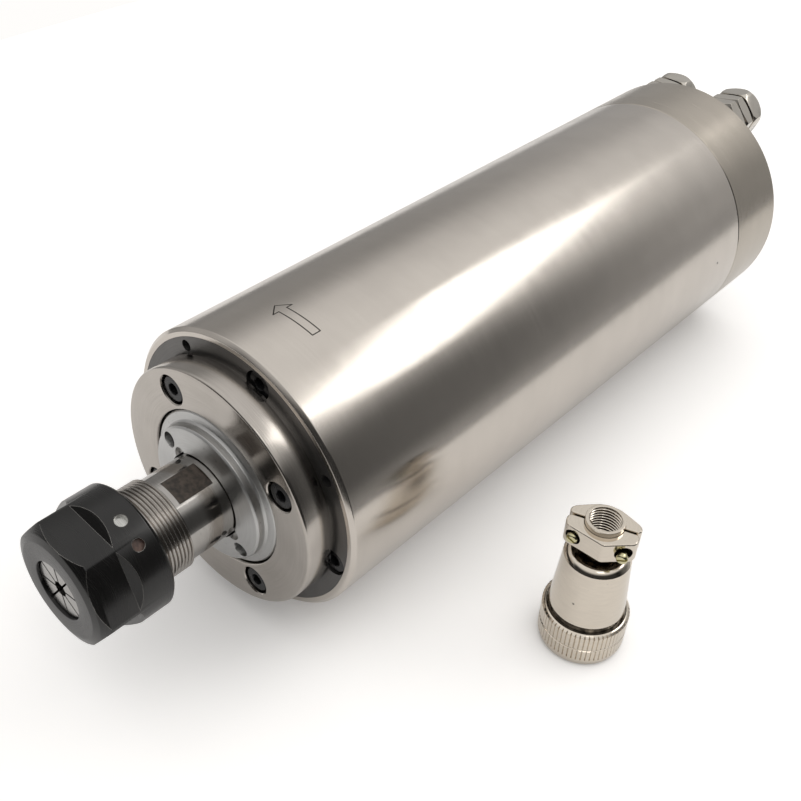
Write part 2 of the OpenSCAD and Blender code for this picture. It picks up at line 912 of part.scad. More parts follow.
// What one flat of the hexagon takes away, with the ramp at its end
module nut_flat() {
    flat_end = nut_face + nut_hex_l;
    rise = nut_r - nut_af/2 + cut;
    translate([-nut_r, 0, 0])
        rotate([90, 0, 90])
            linear_extrude(2*nut_r)
                polygon([
                    [nut_face - cut, 0],
                    [flat_end, 0],
                    [flat_end + rise/tan(nut_ramp), rise],
                    [nut_face - cut, rise]
                ]);
}

module collet_nut() {
    shoulder_y = nut_face + nut_shoulder_l;
    color([0.12, 0.12, 0.13])
        difference() {
            turned([
                [0, nut_face],
                [nut_face_r, nut_face],
                [nut_shoulder_r, shoulder_y],
                [nut_r, shoulder_y + (nut_r - nut_shoulder_r)*tan(nut_bevel)],
                [nut_r, nut_end - nut_edge],
                [nut_r - nut_edge, nut_end],
                [0, nut_end]
            ]);
            around(6, nut_af/2, nut_clock + 30)
                nut_flat();
            nut_hollow();
            for (clock = balance_clocks)
                at_clock(nut_r - balance_depth, clock)
                    translate([0, balance_y, 0])
                        cylinder(r = balance_r, h = 2*balance_depth, $fn = 48);
        }
}

// Hose unions

// Children moved to a union's place, with y = 0 on the rear face
module at_union(clock) {
    at_clock(union_radius, clock)
        translate([0, body_l, 0])
            children();
}

// A hexagon with its corners rounded off at one or both ends
module nut_blank(af, from, to, round_front, round_back) {
    corner_r = af/sqrt(3);
    edge_r = af/2 - 0.3;
    edge_l = (corner_r - edge_r)*tan(30);
    intersection() {
        hex_bar(af, from, to);
        turned([
            [0, from],
            [round_front ? edge_r : corner_r, from],
            [corner_r, from + (round_front ? edge_l : 0)],
            [corner_r, to - (round_back ? edge_l : 0)],
            [round_back ? edge_r : corner_r, to],
            [0, to]
        ]);
    }
}

module union_bodies() {
    nose_end = union_nose_y + union_nose_l;
    color([0.75, 0.73, 0.7])
        for (clock = [union_a_clock, union_b_clock])
            at_union(clock)
                difference() {
                    union() {
                        bar(union_thread_r, -union_thread_l, union_hex_y + 1);
                        nut_blank(union_af, union_hex_y, union_nose_y, true, true);
                        bar(union_nose_r, union_nose_y - cut, nose_end);
                    }
                    bar(union_bore_r, -union_thread_l - cut, nose_end);
                    bar(hose_r, nose_end - hose_depth, nose_end + cut);
                }
}

module union_lock_nuts() {
    color([0.72, 0.7, 0.67])
        for (clock = [union_a_clock, union_b_clock])
            at_union(clock)
                difference() {
                    nut_blank(union_af, seal_t, seal_t + lock_nut_t, true, true);
                    bar(union_thread_r + 0.05, 0, union_hex_y);
                }
}

module union_seals() {
    color([0.65, 0.4, 0.25])
        for (clock = [union_a_clock, union_b_clock])
            at_union(clock)
                tube(union_thread_r + 3, union_thread_r + 0.05, 0, seal_t);
}

module ferrule(clock) {
    color([0.78, 0.62, 0.3])
        at_union(clock)
            tube(union_nose_r - 0.4, hose_r, union_nose_y + union_nose_l + 0.05,
                union_nose_y + union_nose_l + 0.05 + ferrule_l);
}

module union_nut(clock) {
    nut_top = union_nut_y + union_nut_l;
    color([0.75, 0.73, 0.7])
        at_union(clock)
            difference() {
                nut_blank(union_af, union_nut_y, nut_top, false, true);
                bar(union_nose_r + thread_gap, union_nut_y - cut, nut_top - union_nut_lip);
                bar(hose_r + 0.1, union_nut_y, nut_top + cut);
            }
}

module ferrule_a() {
    ferrule(union_a_clock);
}

module ferrule_b() {
    ferrule(union_b_clock);
}

module union_nut_a() {
    union_nut(union_a_clock);
}

module union_nut_b() {
    union_nut(union_b_clock);
}

// Receptacle in the rear cap

// Children moved to the receptacle's place, with y = 0 on the rear face
module at_receptacle() {
    at_clock(receptacle_radius, receptacle_clock)
        translate([0, body_l, 0])
            children();
}

module receptacle_shell() {
    front = receptacle_flange_t + receptacle_barrel_l;
    color([0.75, 0.73, 0.7])
        at_receptacle()
            difference() {
                union() {
                    bar(receptacle_body_r, -receptacle_back, cut);
                    bar(receptacle_flange_r, 0, receptacle_flange_t);
                    bar(receptacle_thread_r, receptacle_flange_t - cut, front);
                }
                bar(receptacle_bore_r, -receptacle_back - cut, front + cut);
            }
}

module receptacle_nut() {
    color([0.72, 0.7, 0.67])
        at_receptacle()
            difference() {
                hex_bar(receptacle_nut_af, -rear_wall_t - receptacle_nut_t, -rear_wall_t);
                bar(receptacle_body_r + 0.05, -receptacle_back, 0);
            }
}

module receptacle_insulator() {
    color([0.15, 0.1, 0.08])
        at_receptacle()
            difference() {
                bar(receptacle_bore_r - seat, -receptacle_back + 1, insulator_front);
                around(pin_count, pin_circle_r, pin_clock)
                    bar(pin_r + seat, -receptacle_back, insulator_front + cut);
            }
}

module receptacle_pins() {
    color([0.8, 0.65, 0.35])
        at_receptacle()
            around(pin_count, pin_circle_r, pin_clock)
                bar(pin_r, -pin_tail, pin_tip);
}

// Loose plug, standing on its coupling ring

// Children moved to the plug's place, with z = 0 on the floor
module at_plug() {
    translate([plug_x, plug_y, floor_z])
        rotate(plug_turn)
            children();
}

module plug_ring() {
    color([0.74, 0.72, 0.69])
        at_plug()
            rotate_extrude()
                polygon([
                    [ring_thread_r, 0],
                    [ring_r - 0.8, 0],
                    [ring_r, 0.8],
                    [ring_r, ring_groove_z - 0.4],
                    [ring_r - 0.4, ring_groove_z],
                    [ring_r, ring_groove_z + 0.4],
                    [ring_r, ring_h - 1.2],
                    [ring_r - 0.8, ring_h],
                    [ring_neck_r, ring_h],
                    [ring_neck_r, ring_h - ring_lip_t],
                    [ring_thread_r + ring_relief, ring_h - ring_lip_t],
                    [ring_thread_r + ring_relief, ring_h - ring_lip_t - ring_relief_h],
                    [ring_thread_r, ring_h - ring_lip_t - ring_relief_h]
                ]);
}

module plug_shell() {
    flange_top = ring_h - ring_lip_t - 0.1;
    color([0.76, 0.74, 0.71])
        at_plug()
            rotate_extrude()
                polygon([
                    [shell_bore_r, shell_foot_z],
                    [shell_barrel_r, shell_foot_z],
                    [shell_barrel_r, flange_top - shell_flange_t],
                    [ring_thread_r + shell_flange, flange_top - shell_flange_t],
                    [ring_thread_r + shell_flange, flange_top],
                    [ring_neck_r - thread_gap, flange_top],
                    [ring_neck_r - thread_gap, shell_cone_z],
                    [shell_cone_r, shell_cone_z + 0.2],
                    [shell_top_r, shell_top_z - shell_edge],
                    [shell_top_r - 0.15*shell_edge, shell_top_z - 0.5*shell_edge],
                    [shell_top_r - 0.5*shell_edge, shell_top_z - 0.15*shell_edge],
                    [shell_top_r - shell_edge, shell_top_z],
                    [shell_dish_r, shell_top_z],
                    [shell_dish_r, shell_top_z - shell_dish_depth],
                    [neck_tube_r, shell_top_z - shell_dish_depth],
                    [neck_tube_r, plug_h - 0.3],
                    [neck_tube_r - 0.3, plug_h],
                    [entry_r, plug_h],
                    [entry_r, shell_top_z - 2.4],
                    [shell_bore_r, shell_top_z - 6]
                ]);
}

module plug_insulator() {
    color([0.15, 0.1, 0.08])
        at_plug()
            difference() {
                translate([0, 0, shell_foot_z + 1])
                    cylinder(r = shell_bore_r - seat, h = 10);
                for (i = [0:pin_count - 1])
                    rotate(pin_clock + i*360/pin_count)
                        translate([pin_circle_r, 0, 0])
                            cylinder(r = socket_r + seat, h = 20);
            }
}

module plug_sockets() {
    color([0.8, 0.65, 0.35])
        at_plug()
            for (i = [0:pin_count - 1])
                rotate(pin_clock + i*360/pin_count)
                    translate([pin_circle_r, 0, shell_foot_z + 1.2])
                        difference() {
                            cylinder(r = socket_r, h = socket_l);
                            translate([0, 0, -cut])
                                cylinder(r = socket_bore_r, h = socket_bore_l + cut);
                        }
}

module plug_clamp_front() {
    ridge = 7.4;
    ridge_x = 1.5;
    color([0.76, 0.74, 0.71])
        at_plug()
            difference() {
                translate([0, 0, clamp_z])
                    linear_extrude(clamp_t)
                        polygon([
                            [-clamp_half_w + 0.7, -clamp_gap/2],
                            [-clamp_half_w, -1.2],
                            [-clamp_half_w, -2.8],
                            [-clamp_half_w + 0.6, -3.9],
                            [-clamp_half_w + 1.7, -4.5],
                            [ridge_x - 0.3, -ridge],
                            [ridge_x + 0.3, -ridge],
                            [clamp_half_w - 1.7, -4.5],
                            [clamp_half_w - 0.6, -3.9],
                            [clamp_half_w, -2.8],
                            [clamp_half_w, -1.2],
                            [clamp_half_w - 0.7, -clamp_gap/2]
                        ]);
                translate([0, 0, clamp_z - cut])
                    cylinder(r = neck_tube_r + clamp_grip, h = clamp_t + 2*cut);
                for (side = [-1, 1])
                    translate([side*clamp_screw_x, 0, clamp_z + clamp_t/2])
                        rotate([90, 0, 0]) {
                            cylinder(r = clamp_screw_r + 0.1, h = 10);
                            translate([0, 0, clamp_seat_depth])
                                cylinder(r = clamp_sink_r, h = 10);
                        }
            }
}

module plug_clamp_back() {
    color([0.76, 0.74, 0.71])
        at_plug()
            difference() {
                translate([0, 0, clamp_z])
                    linear_extrude(clamp_t)
                        polygon([
                            [clamp_half_w - 0.7, clamp_gap/2],
                            [clamp_half_w, 1.2],
                            [clamp_half_w - 0.2, 2.2],
                            [clamp_half_w - 1, 3.2],
                            [5, 5],
                            [2.8, 6.2],
                            [0, 6.7],
                            [-2.8, 6.2],
                            [-5, 5],
                            [-clamp_half_w + 1, 3.2],
                            [-clamp_half_w + 0.2, 2.2],
                            [-clamp_half_w, 1.2],
                            [-clamp_half_w + 0.7, clamp_gap/2]
                        ]);
                translate([0, 0, clamp_z - cut])
                    cylinder(r = neck_tube_r + clamp_grip, h = clamp_t + 2*cut);
                for (side = [-1, 1])
                    translate([side*clamp_screw_x, 0, clamp_z + clamp_t/2])
                        rotate([-90, 0, 0])
                            cylinder(r = clamp_screw_r + 0.05, h = 10);
            }
}

// Two slotted screws, backed out of their seats as they stand on the real plug
module plug_screws() {
    color([0.72, 0.68, 0.5])
        at_plug()
            for (i = [0, 1]) {
                x = (2*i - 1)*clamp_screw_x;
                translate([x, -clamp_seat_depth - clamp_screw_out[i], clamp_z + clamp_t/2])
                    rotate([90, 0, 0])
                        difference() {
                            union() {
                                translate([0, 0, -clamp_screw_l])
                                    cylinder(r = clamp_screw_r, h = clamp_screw_l + cut);
                                cylinder(r1 = clamp_head_r, r2 = clamp_head_r - 0.3, h = clamp_head_h);
                            }
                            translate([-clamp_head_r, -clamp_driver_w/2, clamp_head_h - clamp_driver_depth])
                                cube([2*clamp_head_r, clamp_driver_w, clamp_driver_depth + cut]);
                        }
            }
}

sleeve();
water_jacket();
jacket_seals();
front_housing();
housing_screws();
front_flange();
flange_screws();
front_outer_rings();
front_outer_spacer();
front_balls();
front_cages();
front_inner_rings();
front_inner_spacer();
gland();
shaft();
rotor_core();
rotor_end_rings();
stator_core();
stator_winding();
rear_housing();
rear_outer_ring();
preload_spring();
rear_balls();
rear_cage();
rear_inner_ring();
rear_lock_nut();
rear_cap();
rear_cap_screws();
collet();
collet_nut();
union_bodies();
union_lock_nuts();
union_seals();
ferrule_a();
ferrule_b();
union_nut_a();
union_nut_b();
receptacle_shell();
receptacle_nut();
receptacle_insulator();
receptacle_pins();
plug_shell();
plug_ring();
plug_insulator();
plug_sockets();
plug_clamp_front();
plug_clamp_back();
plug_screws();
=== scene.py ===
"""A motor spindle lying on its side, with its loose cable plug standing beside it."""
import math
import bpy
from mathutils import Matrix, Vector


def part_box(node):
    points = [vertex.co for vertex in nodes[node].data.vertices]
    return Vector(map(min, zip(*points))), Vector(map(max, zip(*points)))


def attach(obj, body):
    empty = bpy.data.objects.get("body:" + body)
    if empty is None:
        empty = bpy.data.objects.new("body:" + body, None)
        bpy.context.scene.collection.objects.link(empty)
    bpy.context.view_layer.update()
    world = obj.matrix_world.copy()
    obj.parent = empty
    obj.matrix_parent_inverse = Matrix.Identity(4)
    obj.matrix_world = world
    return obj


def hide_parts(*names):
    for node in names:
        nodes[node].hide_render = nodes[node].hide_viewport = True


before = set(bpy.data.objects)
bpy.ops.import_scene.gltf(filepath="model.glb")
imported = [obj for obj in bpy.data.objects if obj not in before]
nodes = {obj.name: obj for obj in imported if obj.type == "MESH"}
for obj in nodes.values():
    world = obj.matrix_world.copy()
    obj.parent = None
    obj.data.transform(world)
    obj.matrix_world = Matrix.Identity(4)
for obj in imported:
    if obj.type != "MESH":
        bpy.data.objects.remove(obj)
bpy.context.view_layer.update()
bpy.ops.object.select_all(action='DESELECT')
MM = 0.001


# ---------------------------------------------------------------- camera
# The camera stands in front of the nose, to its right and about forty degrees above it,
# a good quarter of a metre away, and is tipped a little clockwise.
camera_turn, camera_rise, camera_tip = math.radians(39.79), math.radians(39.52), math.radians(3.22)
backwards = Vector((math.sin(camera_turn)*math.cos(camera_rise), -math.cos(camera_turn)*math.cos(camera_rise),
                    math.sin(camera_rise)))
level_right = Vector((math.cos(camera_turn), math.sin(camera_turn), 0))
level_up = backwards.cross(level_right)
right = level_right*math.cos(camera_tip) + level_up*math.sin(camera_tip)
up = level_up*math.cos(camera_tip) - level_right*math.sin(camera_tip)
bpy.ops.object.camera_add()
camera = bpy.context.object
camera_place = Matrix.Translation((0.15677, -0.12631, 0.18921))
camera.matrix_world = camera_place @ Matrix((right, up, backwards)).transposed().to_4x4()
camera.data.lens = 48.19
camera.data.sensor_width = 36
camera.data.clip_start = 0.01
camera.data.clip_end = 20
bpy.context.scene.camera = camera
bpy.context.scene.view_settings.view_transform = 'Standard'


# ---------------------------------------------------------------- table and room
# The spindle lies on a white table top, under a pale ceiling and one large soft window light
# behind its rear end; the walls near the horizon are darker than the ceiling.
def add(tree, kind, inputs=None, **settings):
    """Adds one shader node; an input is given a number or colour, or is joined to another node's output."""
    made = tree.nodes.new(kind)
    for name, value in settings.items():
        setattr(made, name, value)
    for key, value in (inputs or {}).items():
        if isinstance(value, bpy.types.NodeSocket):
            tree.links.new(value, made.inputs[key])
        else:
            made.inputs[key].default_value = value
    return made


def heading(turn, rise):
    """The unit direction towards a place in the room, given by its bearing and its height in degrees."""
    turn, rise = math.radians(turn), math.radians(rise)
    return (math.sin(turn)*math.cos(rise), -math.cos(turn)*math.cos(rise), math.sin(rise))


def steps(tree, value, low, high, at_low, at_high):
    """Eases from one number to another while value goes from low to high."""
    return add(tree, 'ShaderNodeMapRange', {'Value': value, 'From Min': low, 'From Max': high,
                                            'To Min': at_low, 'To Max': at_high},
               interpolation_type='SMOOTHSTEP').outputs['Result']


def combine(tree, how, first, second):
    """One step of arithmetic on two numbers."""
    return add(tree, 'ShaderNodeMath', {0: first, 1: second}, operation=how).outputs[0]


def vectors(tree, how, first, second, out='Vector'):
    """One step of arithmetic on two vectors; out is Value where the answer is a number."""
    return add(tree, 'ShaderNodeVectorMath', {0: first, 1: second}, operation=how).outputs[out]


room = bpy.data.worlds.new("room")
room.use_nodes = True
tree = room.node_tree
tree.nodes.clear()
direction = add(tree, 'ShaderNodeTexCoord').outputs['Generated']
rise = add(tree, 'ShaderNodeSeparateXYZ', {0: direction}).outputs['Z']
ceiling = steps(tree, rise, 0.30, 0.88, 0.46, 0.88)
cabinet_side = vectors(tree, 'DOT_PRODUCT', direction, heading(120, 14), 'Value')
cabinet = steps(tree, cabinet_side, 0.86, 0.985, 1.0, 0.33)
window_side = vectors(tree, 'DOT_PRODUCT', direction, heading(-112, 14), 'Value')
shelf = steps(tree, window_side, 0.80, 0.98, 1.0, 0.72)
level = combine(tree, 'MULTIPLY', ceiling, cabinet)
level = combine(tree, 'MULTIPLY', level, steps(tree, rise, -0.08, 0.10, 0.80, 1.0))
level = combine(tree, 'MULTIPLY', level, shelf)
far_wall = vectors(tree, 'DOT_PRODUCT', direction, heading(178, 28), 'Value')
level = combine(tree, 'ADD', level, steps(tree, far_wall, 0.86, 0.99, 0.0, 0.15))
ahead = vectors(tree, 'DOT_PRODUCT', direction, heading(35, 5), 'Value')
low_wall = steps(tree, rise, 0.42, 0.74, 0.92, 0.0)
dark_side = combine(tree, 'MULTIPLY', steps(tree, ahead, 0.0, 0.4, 0.0, 1.0), low_wall)
dark_side = combine(tree, 'SUBTRACT', 1.0, dark_side)
level = combine(tree, 'MULTIPLY', level, dark_side)
seen = add(tree, 'ShaderNodeLightPath').outputs['Is Camera Ray']
shade = add(tree, 'ShaderNodeMix', {'Factor': seen, 'A': level, 'B': 1.0},
            data_type='FLOAT').outputs['Result']
sky = add(tree, 'ShaderNodeBackground', {'Color': (1, 0.985, 0.965, 1), 'Strength': shade}).outputs[0]
add(tree, 'ShaderNodeOutputWorld', {'Surface': sky})
bpy.context.scene.world = room


def soft_light(name, turn, rise, distance, width, height, brightness):
    """A rectangular soft light at a bearing and height; brightness is what a mirror would show."""
    data = bpy.data.lights.new(name, 'AREA')
    data.shape = 'RECTANGLE'
    data.size, data.size_y = width, height
    data.energy = brightness*math.pi*width*height
    data.color = (1, 0.98, 0.95)
    lamp = bpy.data.objects.new(name, data)
    bpy.context.scene.collection.objects.link(lamp)
    middle = Vector((0, 0.09, 0))
    place = middle + distance*Vector(heading(turn, rise))
    facing = (place - middle).to_track_quat('Z', 'Y').to_matrix().to_4x4()
    lamp.matrix_world = Matrix.Translation(place) @ facing
    lamp.visible_camera = False
    return lamp


soft_light("window_light", turn=151, rise=47, distance=1.6, width=0.90, height=0.54, brightness=2.1)
soft_light("front_light", turn=60, rise=62, distance=1.8, width=0.5, height=0.5, brightness=1.2)


def fresh(name):
    """A new material and its nodes."""
    finish = bpy.data.materials.new(name)
    finish.use_nodes = True
    return finish, finish.node_tree


floor_height = -0.040
bpy.ops.mesh.primitive_plane_add(size=1, location=(-0.11, 0.08, floor_height), scale=(1, 1, 1))
table = bpy.context.object
table.name = "table_top"
bpy.ops.transform.resize(value=(0.54, 1.05, 1))
bpy.ops.object.transform_apply(location=False)
table_white, tree = fresh("table_white")
tree.nodes.clear()
path = add(tree, 'ShaderNodeLightPath').outputs
mirrored = combine(tree, 'MAXIMUM', path['Is Glossy Ray'], path['Is Transmission Ray'])
direct = combine(tree, 'MULTIPLY', path['Is Camera Ray'], 0.50)
mirrored = combine(tree, 'MULTIPLY', mirrored, 0.22)
lift = combine(tree, 'ADD', direct, mirrored)
# Painted shadow: near the parts, ambient occlusion dims the table's added glow, darkening the floor under and
# beside them.
openness_for_painted_shadow = add(tree, 'ShaderNodeAmbientOcclusion', {'Distance': 0.055}, samples=8).outputs['AO']
lift = combine(tree, 'MULTIPLY', lift, steps(tree, openness_for_painted_shadow, 0.2, 0.85, 0.35, 1.0))
matt = add(tree, 'ShaderNodeBsdfDiffuse', {'Color': (0.86, 0.85, 0.84, 1)}).outputs[0]
glow = add(tree, 'ShaderNodeEmission', {'Color': (1, 0.99, 0.98, 1), 'Strength': lift}).outputs[0]
both = add(tree, 'ShaderNodeAddShader', {0: matt, 1: glow}).outputs[0]
add(tree, 'ShaderNodeOutputMaterial', {'Surface': both})
table.data.materials.append(table_white)


# ---------------------------------------------------------------- sleeve
# The body is a steel tube, 80 mm across, turned and then ground all round, so that fine
# lines run round it. Its front rim has a 1 mm bevel; the rear cap meets it in a fine seam.
def pick(piece):
    """Makes one piece the only selected and the active one."""
    bpy.ops.object.select_all(action='DESELECT')
    piece.select_set(True)
    bpy.context.view_layer.objects.active = piece


def eased(outline):
    """Rounds the corners of an outline: a point's third number is the size of the rounding there."""
    points = []
    for i, corner in enumerate(outline):
        at = Vector(corner[:2])
        if len(corner) < 3:
            points.append(at)
            continue
        before = Vector(outline[i - 1][:2]) - at
        after = Vector(outline[(i + 1) % len(outline)][:2]) - at
        start, end = at + before.normalized()*corner[2], at + after.normalized()*corner[2]
        points += [start*(1 - t)**2 + at*2*t*(1 - t) + end*t*t for t in (0, 0.25, 0.5, 0.75, 1)]
    return points


def drawn(name, spots, closed=True):
    """Draws a line through points, in metres, by extruding one vertex on and on, and stays in edit mode."""
    bpy.ops.object.select_all(action='DESELECT')
    bpy.ops.mesh.primitive_plane_add(size=0.001, location=spots[0])
    piece = bpy.context.object
    piece.name = piece.data.name = name
    bpy.ops.object.transform_apply()
    bpy.ops.object.mode_set(mode='EDIT')
    bpy.ops.mesh.select_all(action='SELECT')
    bpy.ops.mesh.merge(type='CENTER')
    for a, b in zip(spots, spots[1:] + spots[:1] if closed else spots[1:]):
        bpy.ops.mesh.extrude_vertices_move(TRANSFORM_OT_translate={"value": b - a})
    bpy.ops.mesh.select_all(action='SELECT')
    bpy.ops.mesh.remove_doubles(threshold=2e-6)
    return piece


def solid(piece, smooth=32):
    """Turns all faces outward, leaves edit mode and shades smoothly except at the sharper edges."""
    bpy.ops.mesh.select_all(action='SELECT')
    bpy.ops.mesh.normals_make_consistent(inside=False)
    bpy.ops.object.mode_set(mode='OBJECT')
    bpy.ops.object.shade_smooth_by_angle(angle=math.radians(smooth))
    return piece


def ways(axis):
    """The directions outward from a lathe's axis and along it."""
    return (Vector((0, 0, 1)), Vector((0, 1, 0))) if axis == 'Y' else (Vector((0, -1, 0)), Vector((0, 0, 1)))


def turned(name, outline, closed=True, sides=192, axis='Y', centre=(0, 0, 0)):
    """Turns an outline of (radius, place along the axis) in millimetres round the axis, as a lathe does."""
    outward, along = ways(axis)
    piece = drawn(name, [MM*(Vector(centre) + p.x*outward + p.y*along) for p in eased(outline)], closed)
    bpy.ops.mesh.select_all(action='SELECT')
    bpy.ops.mesh.spin(steps=sides, angle=2*math.pi, center=MM*Vector(centre), axis=along)
    bpy.ops.mesh.select_all(action='SELECT')
    bpy.ops.mesh.remove_doubles(threshold=2e-6)
    return solid(piece)


def lathe_lines(tree, pitch, wander, axis='Y', centre=(0, 0, 0)):
    """Coordinates for a noise in rings round an axis; a unit is one pitch along or out, and wander round."""
    where = add(tree, 'ShaderNodeTexCoord').outputs['Object']
    local = vectors(tree, 'SUBTRACT', where, MM*Vector(centre))
    flat = vectors(tree, 'MULTIPLY', local, (1, 0, 1) if axis == 'Y' else (1, 1, 0))
    reach = add(tree, 'ShaderNodeVectorMath', {0: flat}, operation='LENGTH').outputs['Value']
    round_it = add(tree, 'ShaderNodeVectorMath', {0: flat}, operation='NORMALIZE').outputs[0]
    round_it = add(tree, 'ShaderNodeVectorMath', {0: round_it, 'Scale': wander}, operation='SCALE').outputs[0]
    along = add(tree, 'ShaderNodeSeparateXYZ', {0: local}).outputs[axis]
    line = combine(tree, 'ADD', along, reach)
    line = combine(tree, 'MULTIPLY', line, 1/(pitch*MM))
    step = add(tree, 'ShaderNodeCombineXYZ', {axis: line}).outputs[0]
    return vectors(tree, 'ADD', round_it, step)


def noise(tree, coordinates, scale=1.0, detail=3.0, low=0.3, high=0.7):
    """A noise texture stretched to run from 0 to 1."""
    grey = add(tree, 'ShaderNodeTexNoise', {'Vector': coordinates, 'Scale': scale,
                                            'Detail': detail}).outputs[0]
    return add(tree, 'ShaderNodeMapRange', {'Value': grey, 'From Min': low,
                                            'From Max': high}).outputs['Result']


def blend(tree, factor, first, second):
    """Mixes two colours."""
    first, second = [(*colour, 1) if isinstance(colour, tuple) else colour for colour in (first, second)]
    return add(tree, 'ShaderNodeMix', {'Factor': factor, 6: first, 7: second}, data_type='RGBA').outputs[2]


def span(tree, value, low, high):
    """Brings a 0 to 1 value to run from low to high."""
    return add(tree, 'ShaderNodeMapRange', {'Value': value, 'To Min': low, 'To Max': high}).outputs['Result']


def relief(tree, heights, edge=0.0):
    """Bumps from a list of (pattern, height in micrometres), with edges softened over edge millimetres."""
    total = None
    for pattern, height in heights:
        part = combine(tree, 'MULTIPLY', pattern, height*1e-6)
        total = part if total is None else combine(tree, 'ADD', total, part)
    inputs = {'Height': total, 'Strength': 1.0, 'Distance': 1.0}
    if edge:
        inputs['Normal'] = add(tree, 'ShaderNodeBevel', {'Radius': edge*MM}, samples=6).outputs[0]
    return add(tree, 'ShaderNodeBump', inputs).outputs['Normal']


def lathe_finish(name, light, dark, roughness, axis='Y', centre=(0, 0, 0), stretch=0.6, line=0.25, deep=1.2,
                 band=5.0, band_deep=2.0, spots=0.0, metallic=1.0, spread=0.05, edge=0.0, rubbed=None,
                 marks_and_shade=None, ior=1.5):
    """Turned or ground metal: lines and bands round the axis, faint blotches, soft or rubbed edges."""
    finish, tree = fresh(name)
    metal = tree.nodes['Principled BSDF']
    where = add(tree, 'ShaderNodeTexCoord').outputs['Object']
    fine = noise(tree, lathe_lines(tree, line, 2.5, axis, centre), detail=4)
    broad = noise(tree, lathe_lines(tree, band, 0.8, axis, centre), detail=2)
    cloud = noise(tree, where, scale=90, detail=4)
    tone = combine(tree, 'ADD', fine, cloud)
    tone = combine(tree, 'MULTIPLY', tone, 0.5)
    colour = blend(tree, tone, dark, light)
    if spots:
        speck = add(tree, 'ShaderNodeTexVoronoi', {'Vector': where, 'Scale': 420}).outputs['Distance']
        speck = add(tree, 'ShaderNodeMapRange', {'Value': speck, 'From Min': 0.05, 'From Max': 0.14,
                                                 'To Min': spots, 'To Max': 0.0}).outputs['Result']
        colour = blend(tree, speck, colour, tuple(0.35*c for c in dark))
    heights = [(fine, deep), (broad, band_deep)]
    # A mask darkens the colour to near black and sinks the surface: on the sleeve it is the engraving and a
    # dent, on the plug it is also painted shade in recesses.
    if marks_and_shade:
        marked_and_shaded = marks_and_shade(tree, where)
        colour = blend(tree, marked_and_shaded, colour, (0.045, 0.040, 0.035))
        heights.append((marked_and_shaded, -25))
    if rubbed:
        soft = add(tree, 'ShaderNodeBevel', {'Radius': edge*MM}, samples=6).outputs[0]
        flat = add(tree, 'ShaderNodeNewGeometry').outputs['Normal']
        same = vectors(tree, 'DOT_PRODUCT', soft, flat, 'Value')
        worn = steps(tree, same, 0.90, 0.985, 1.0, 0.0)
        worn = combine(tree, 'MULTIPLY', worn, span(tree, cloud, 0.45, 1.0))
        colour = blend(tree, worn, colour, rubbed)
        tree.links.new(span(tree, worn, metallic, 0.9), metal.inputs['Metallic'])
    metal.inputs['Metallic'].default_value = metallic
    metal.inputs['IOR'].default_value = ior
    metal.inputs['Anisotropic'].default_value = stretch
    metal.inputs['Anisotropic Rotation'].default_value = 0.25
    rings = add(tree, 'ShaderNodeTangent', direction_type='RADIAL', axis=axis).outputs[0]
    tree.links.new(rings, metal.inputs['Tangent'])
    tree.links.new(colour, metal.inputs['Base Color'])
    rough = combine(tree, 'MULTIPLY', broad, fine)
    tree.links.new(span(tree, rough, roughness - spread, roughness + spread), metal.inputs['Roughness'])
    tree.links.new(relief(tree, heights, edge), metal.inputs['Normal'])
    return finish


def dress(piece, body, slot, finish, *stands_for):
    """Gives a new piece its finish, the body that it moves with, and the solids that it stands for."""
    if not piece.data.materials:
        piece.data.materials.append(finish)
    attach(piece, body)
    if stands_for:
        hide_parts(*stands_for)


def line_mark(tree, place, points, width):
    """A mask for a line drawn through points of a plane, open or closed, in the units of place."""
    nearest = None
    for a, b in zip(points, points[1:]):
        way = Vector((b[0] - a[0], b[1] - a[1], 0))
        offset = vectors(tree, 'SUBTRACT', place, (*a, 0))
        along = vectors(tree, 'DOT_PRODUCT', offset, way/way.length_squared, 'Value')
        along = add(tree, 'ShaderNodeClamp', {'Value': along}).outputs[0]
        foot = add(tree, 'ShaderNodeVectorMath', {0: way, 'Scale': along}, operation='SCALE').outputs[0]
        away = vectors(tree, 'DISTANCE', offset, foot, 'Value')
        nearest = away if nearest is None else combine(tree, 'MINIMUM', nearest, away)
    return steps(tree, nearest, 0.35*width, 0.65*width, 1.0, 0.0)


body_radius, body_length = 40.0, 186.5


def sleeve_marks(tree, where):
    """The engraved arrow that shows which way the shaft turns, and one small dent."""
    parts = add(tree, 'ShaderNodeSeparateXYZ', {0: where}).outputs
    turn = combine(tree, 'ARCTAN2', parts['X'], parts['Z'])
    turn = combine(tree, 'MULTIPLY', turn, body_radius)
    along = combine(tree, 'MULTIPLY', parts['Y'], 1/MM)
    place = add(tree, 'ShaderNodeCombineXYZ', {'X': turn, 'Y': along}).outputs[0]
    arrow = [(9.28, 17.05), (-2.36, 17.05), (-2.33, 15.2), (-5.23, 18.35), (-2.33, 21.45), (-2.36, 19.65),
             (9.28, 19.65), (9.28, 17.05)]
    arrow = line_mark(tree, place, arrow, 0.34)
    dent = line_mark(tree, place, [(58.8, 172.8), (58.9, 173.0)], 0.7)
    return combine(tree, 'MAXIMUM', arrow, dent)


ground_steel = lathe_finish("ground_steel", (0.66, 0.615, 0.565), (0.59, 0.55, 0.505), 0.20, stretch=0.7,
                            line=0.14, deep=0.45, band=7.0, band_deep=0.9, marks_and_shade=sleeve_marks)
sleeve = turned("ground_sleeve", [(37.8, 0), (39.0, 0, 0.12), (body_radius, 1.0, 0.15),
                                  (body_radius, body_length - 0.25, 0.08),
                                  (body_radius - 0.25, body_length), (37.8, body_length)], sides=256)
dress(sleeve, "housing", "sleeve_steel", ground_steel, "sleeve")


# ---------------------------------------------------------------- rear cap
# The cap closes the body behind the seam. It is turned from the same steel, a little warmer
# in tone, and carries the unions and the receptacle.
def coat(finish, *names):
    """Gives CAD solids a finish."""
    for name in names:
        mesh = nodes[name].data
        mesh.materials.clear()
        mesh.materials.append(finish)


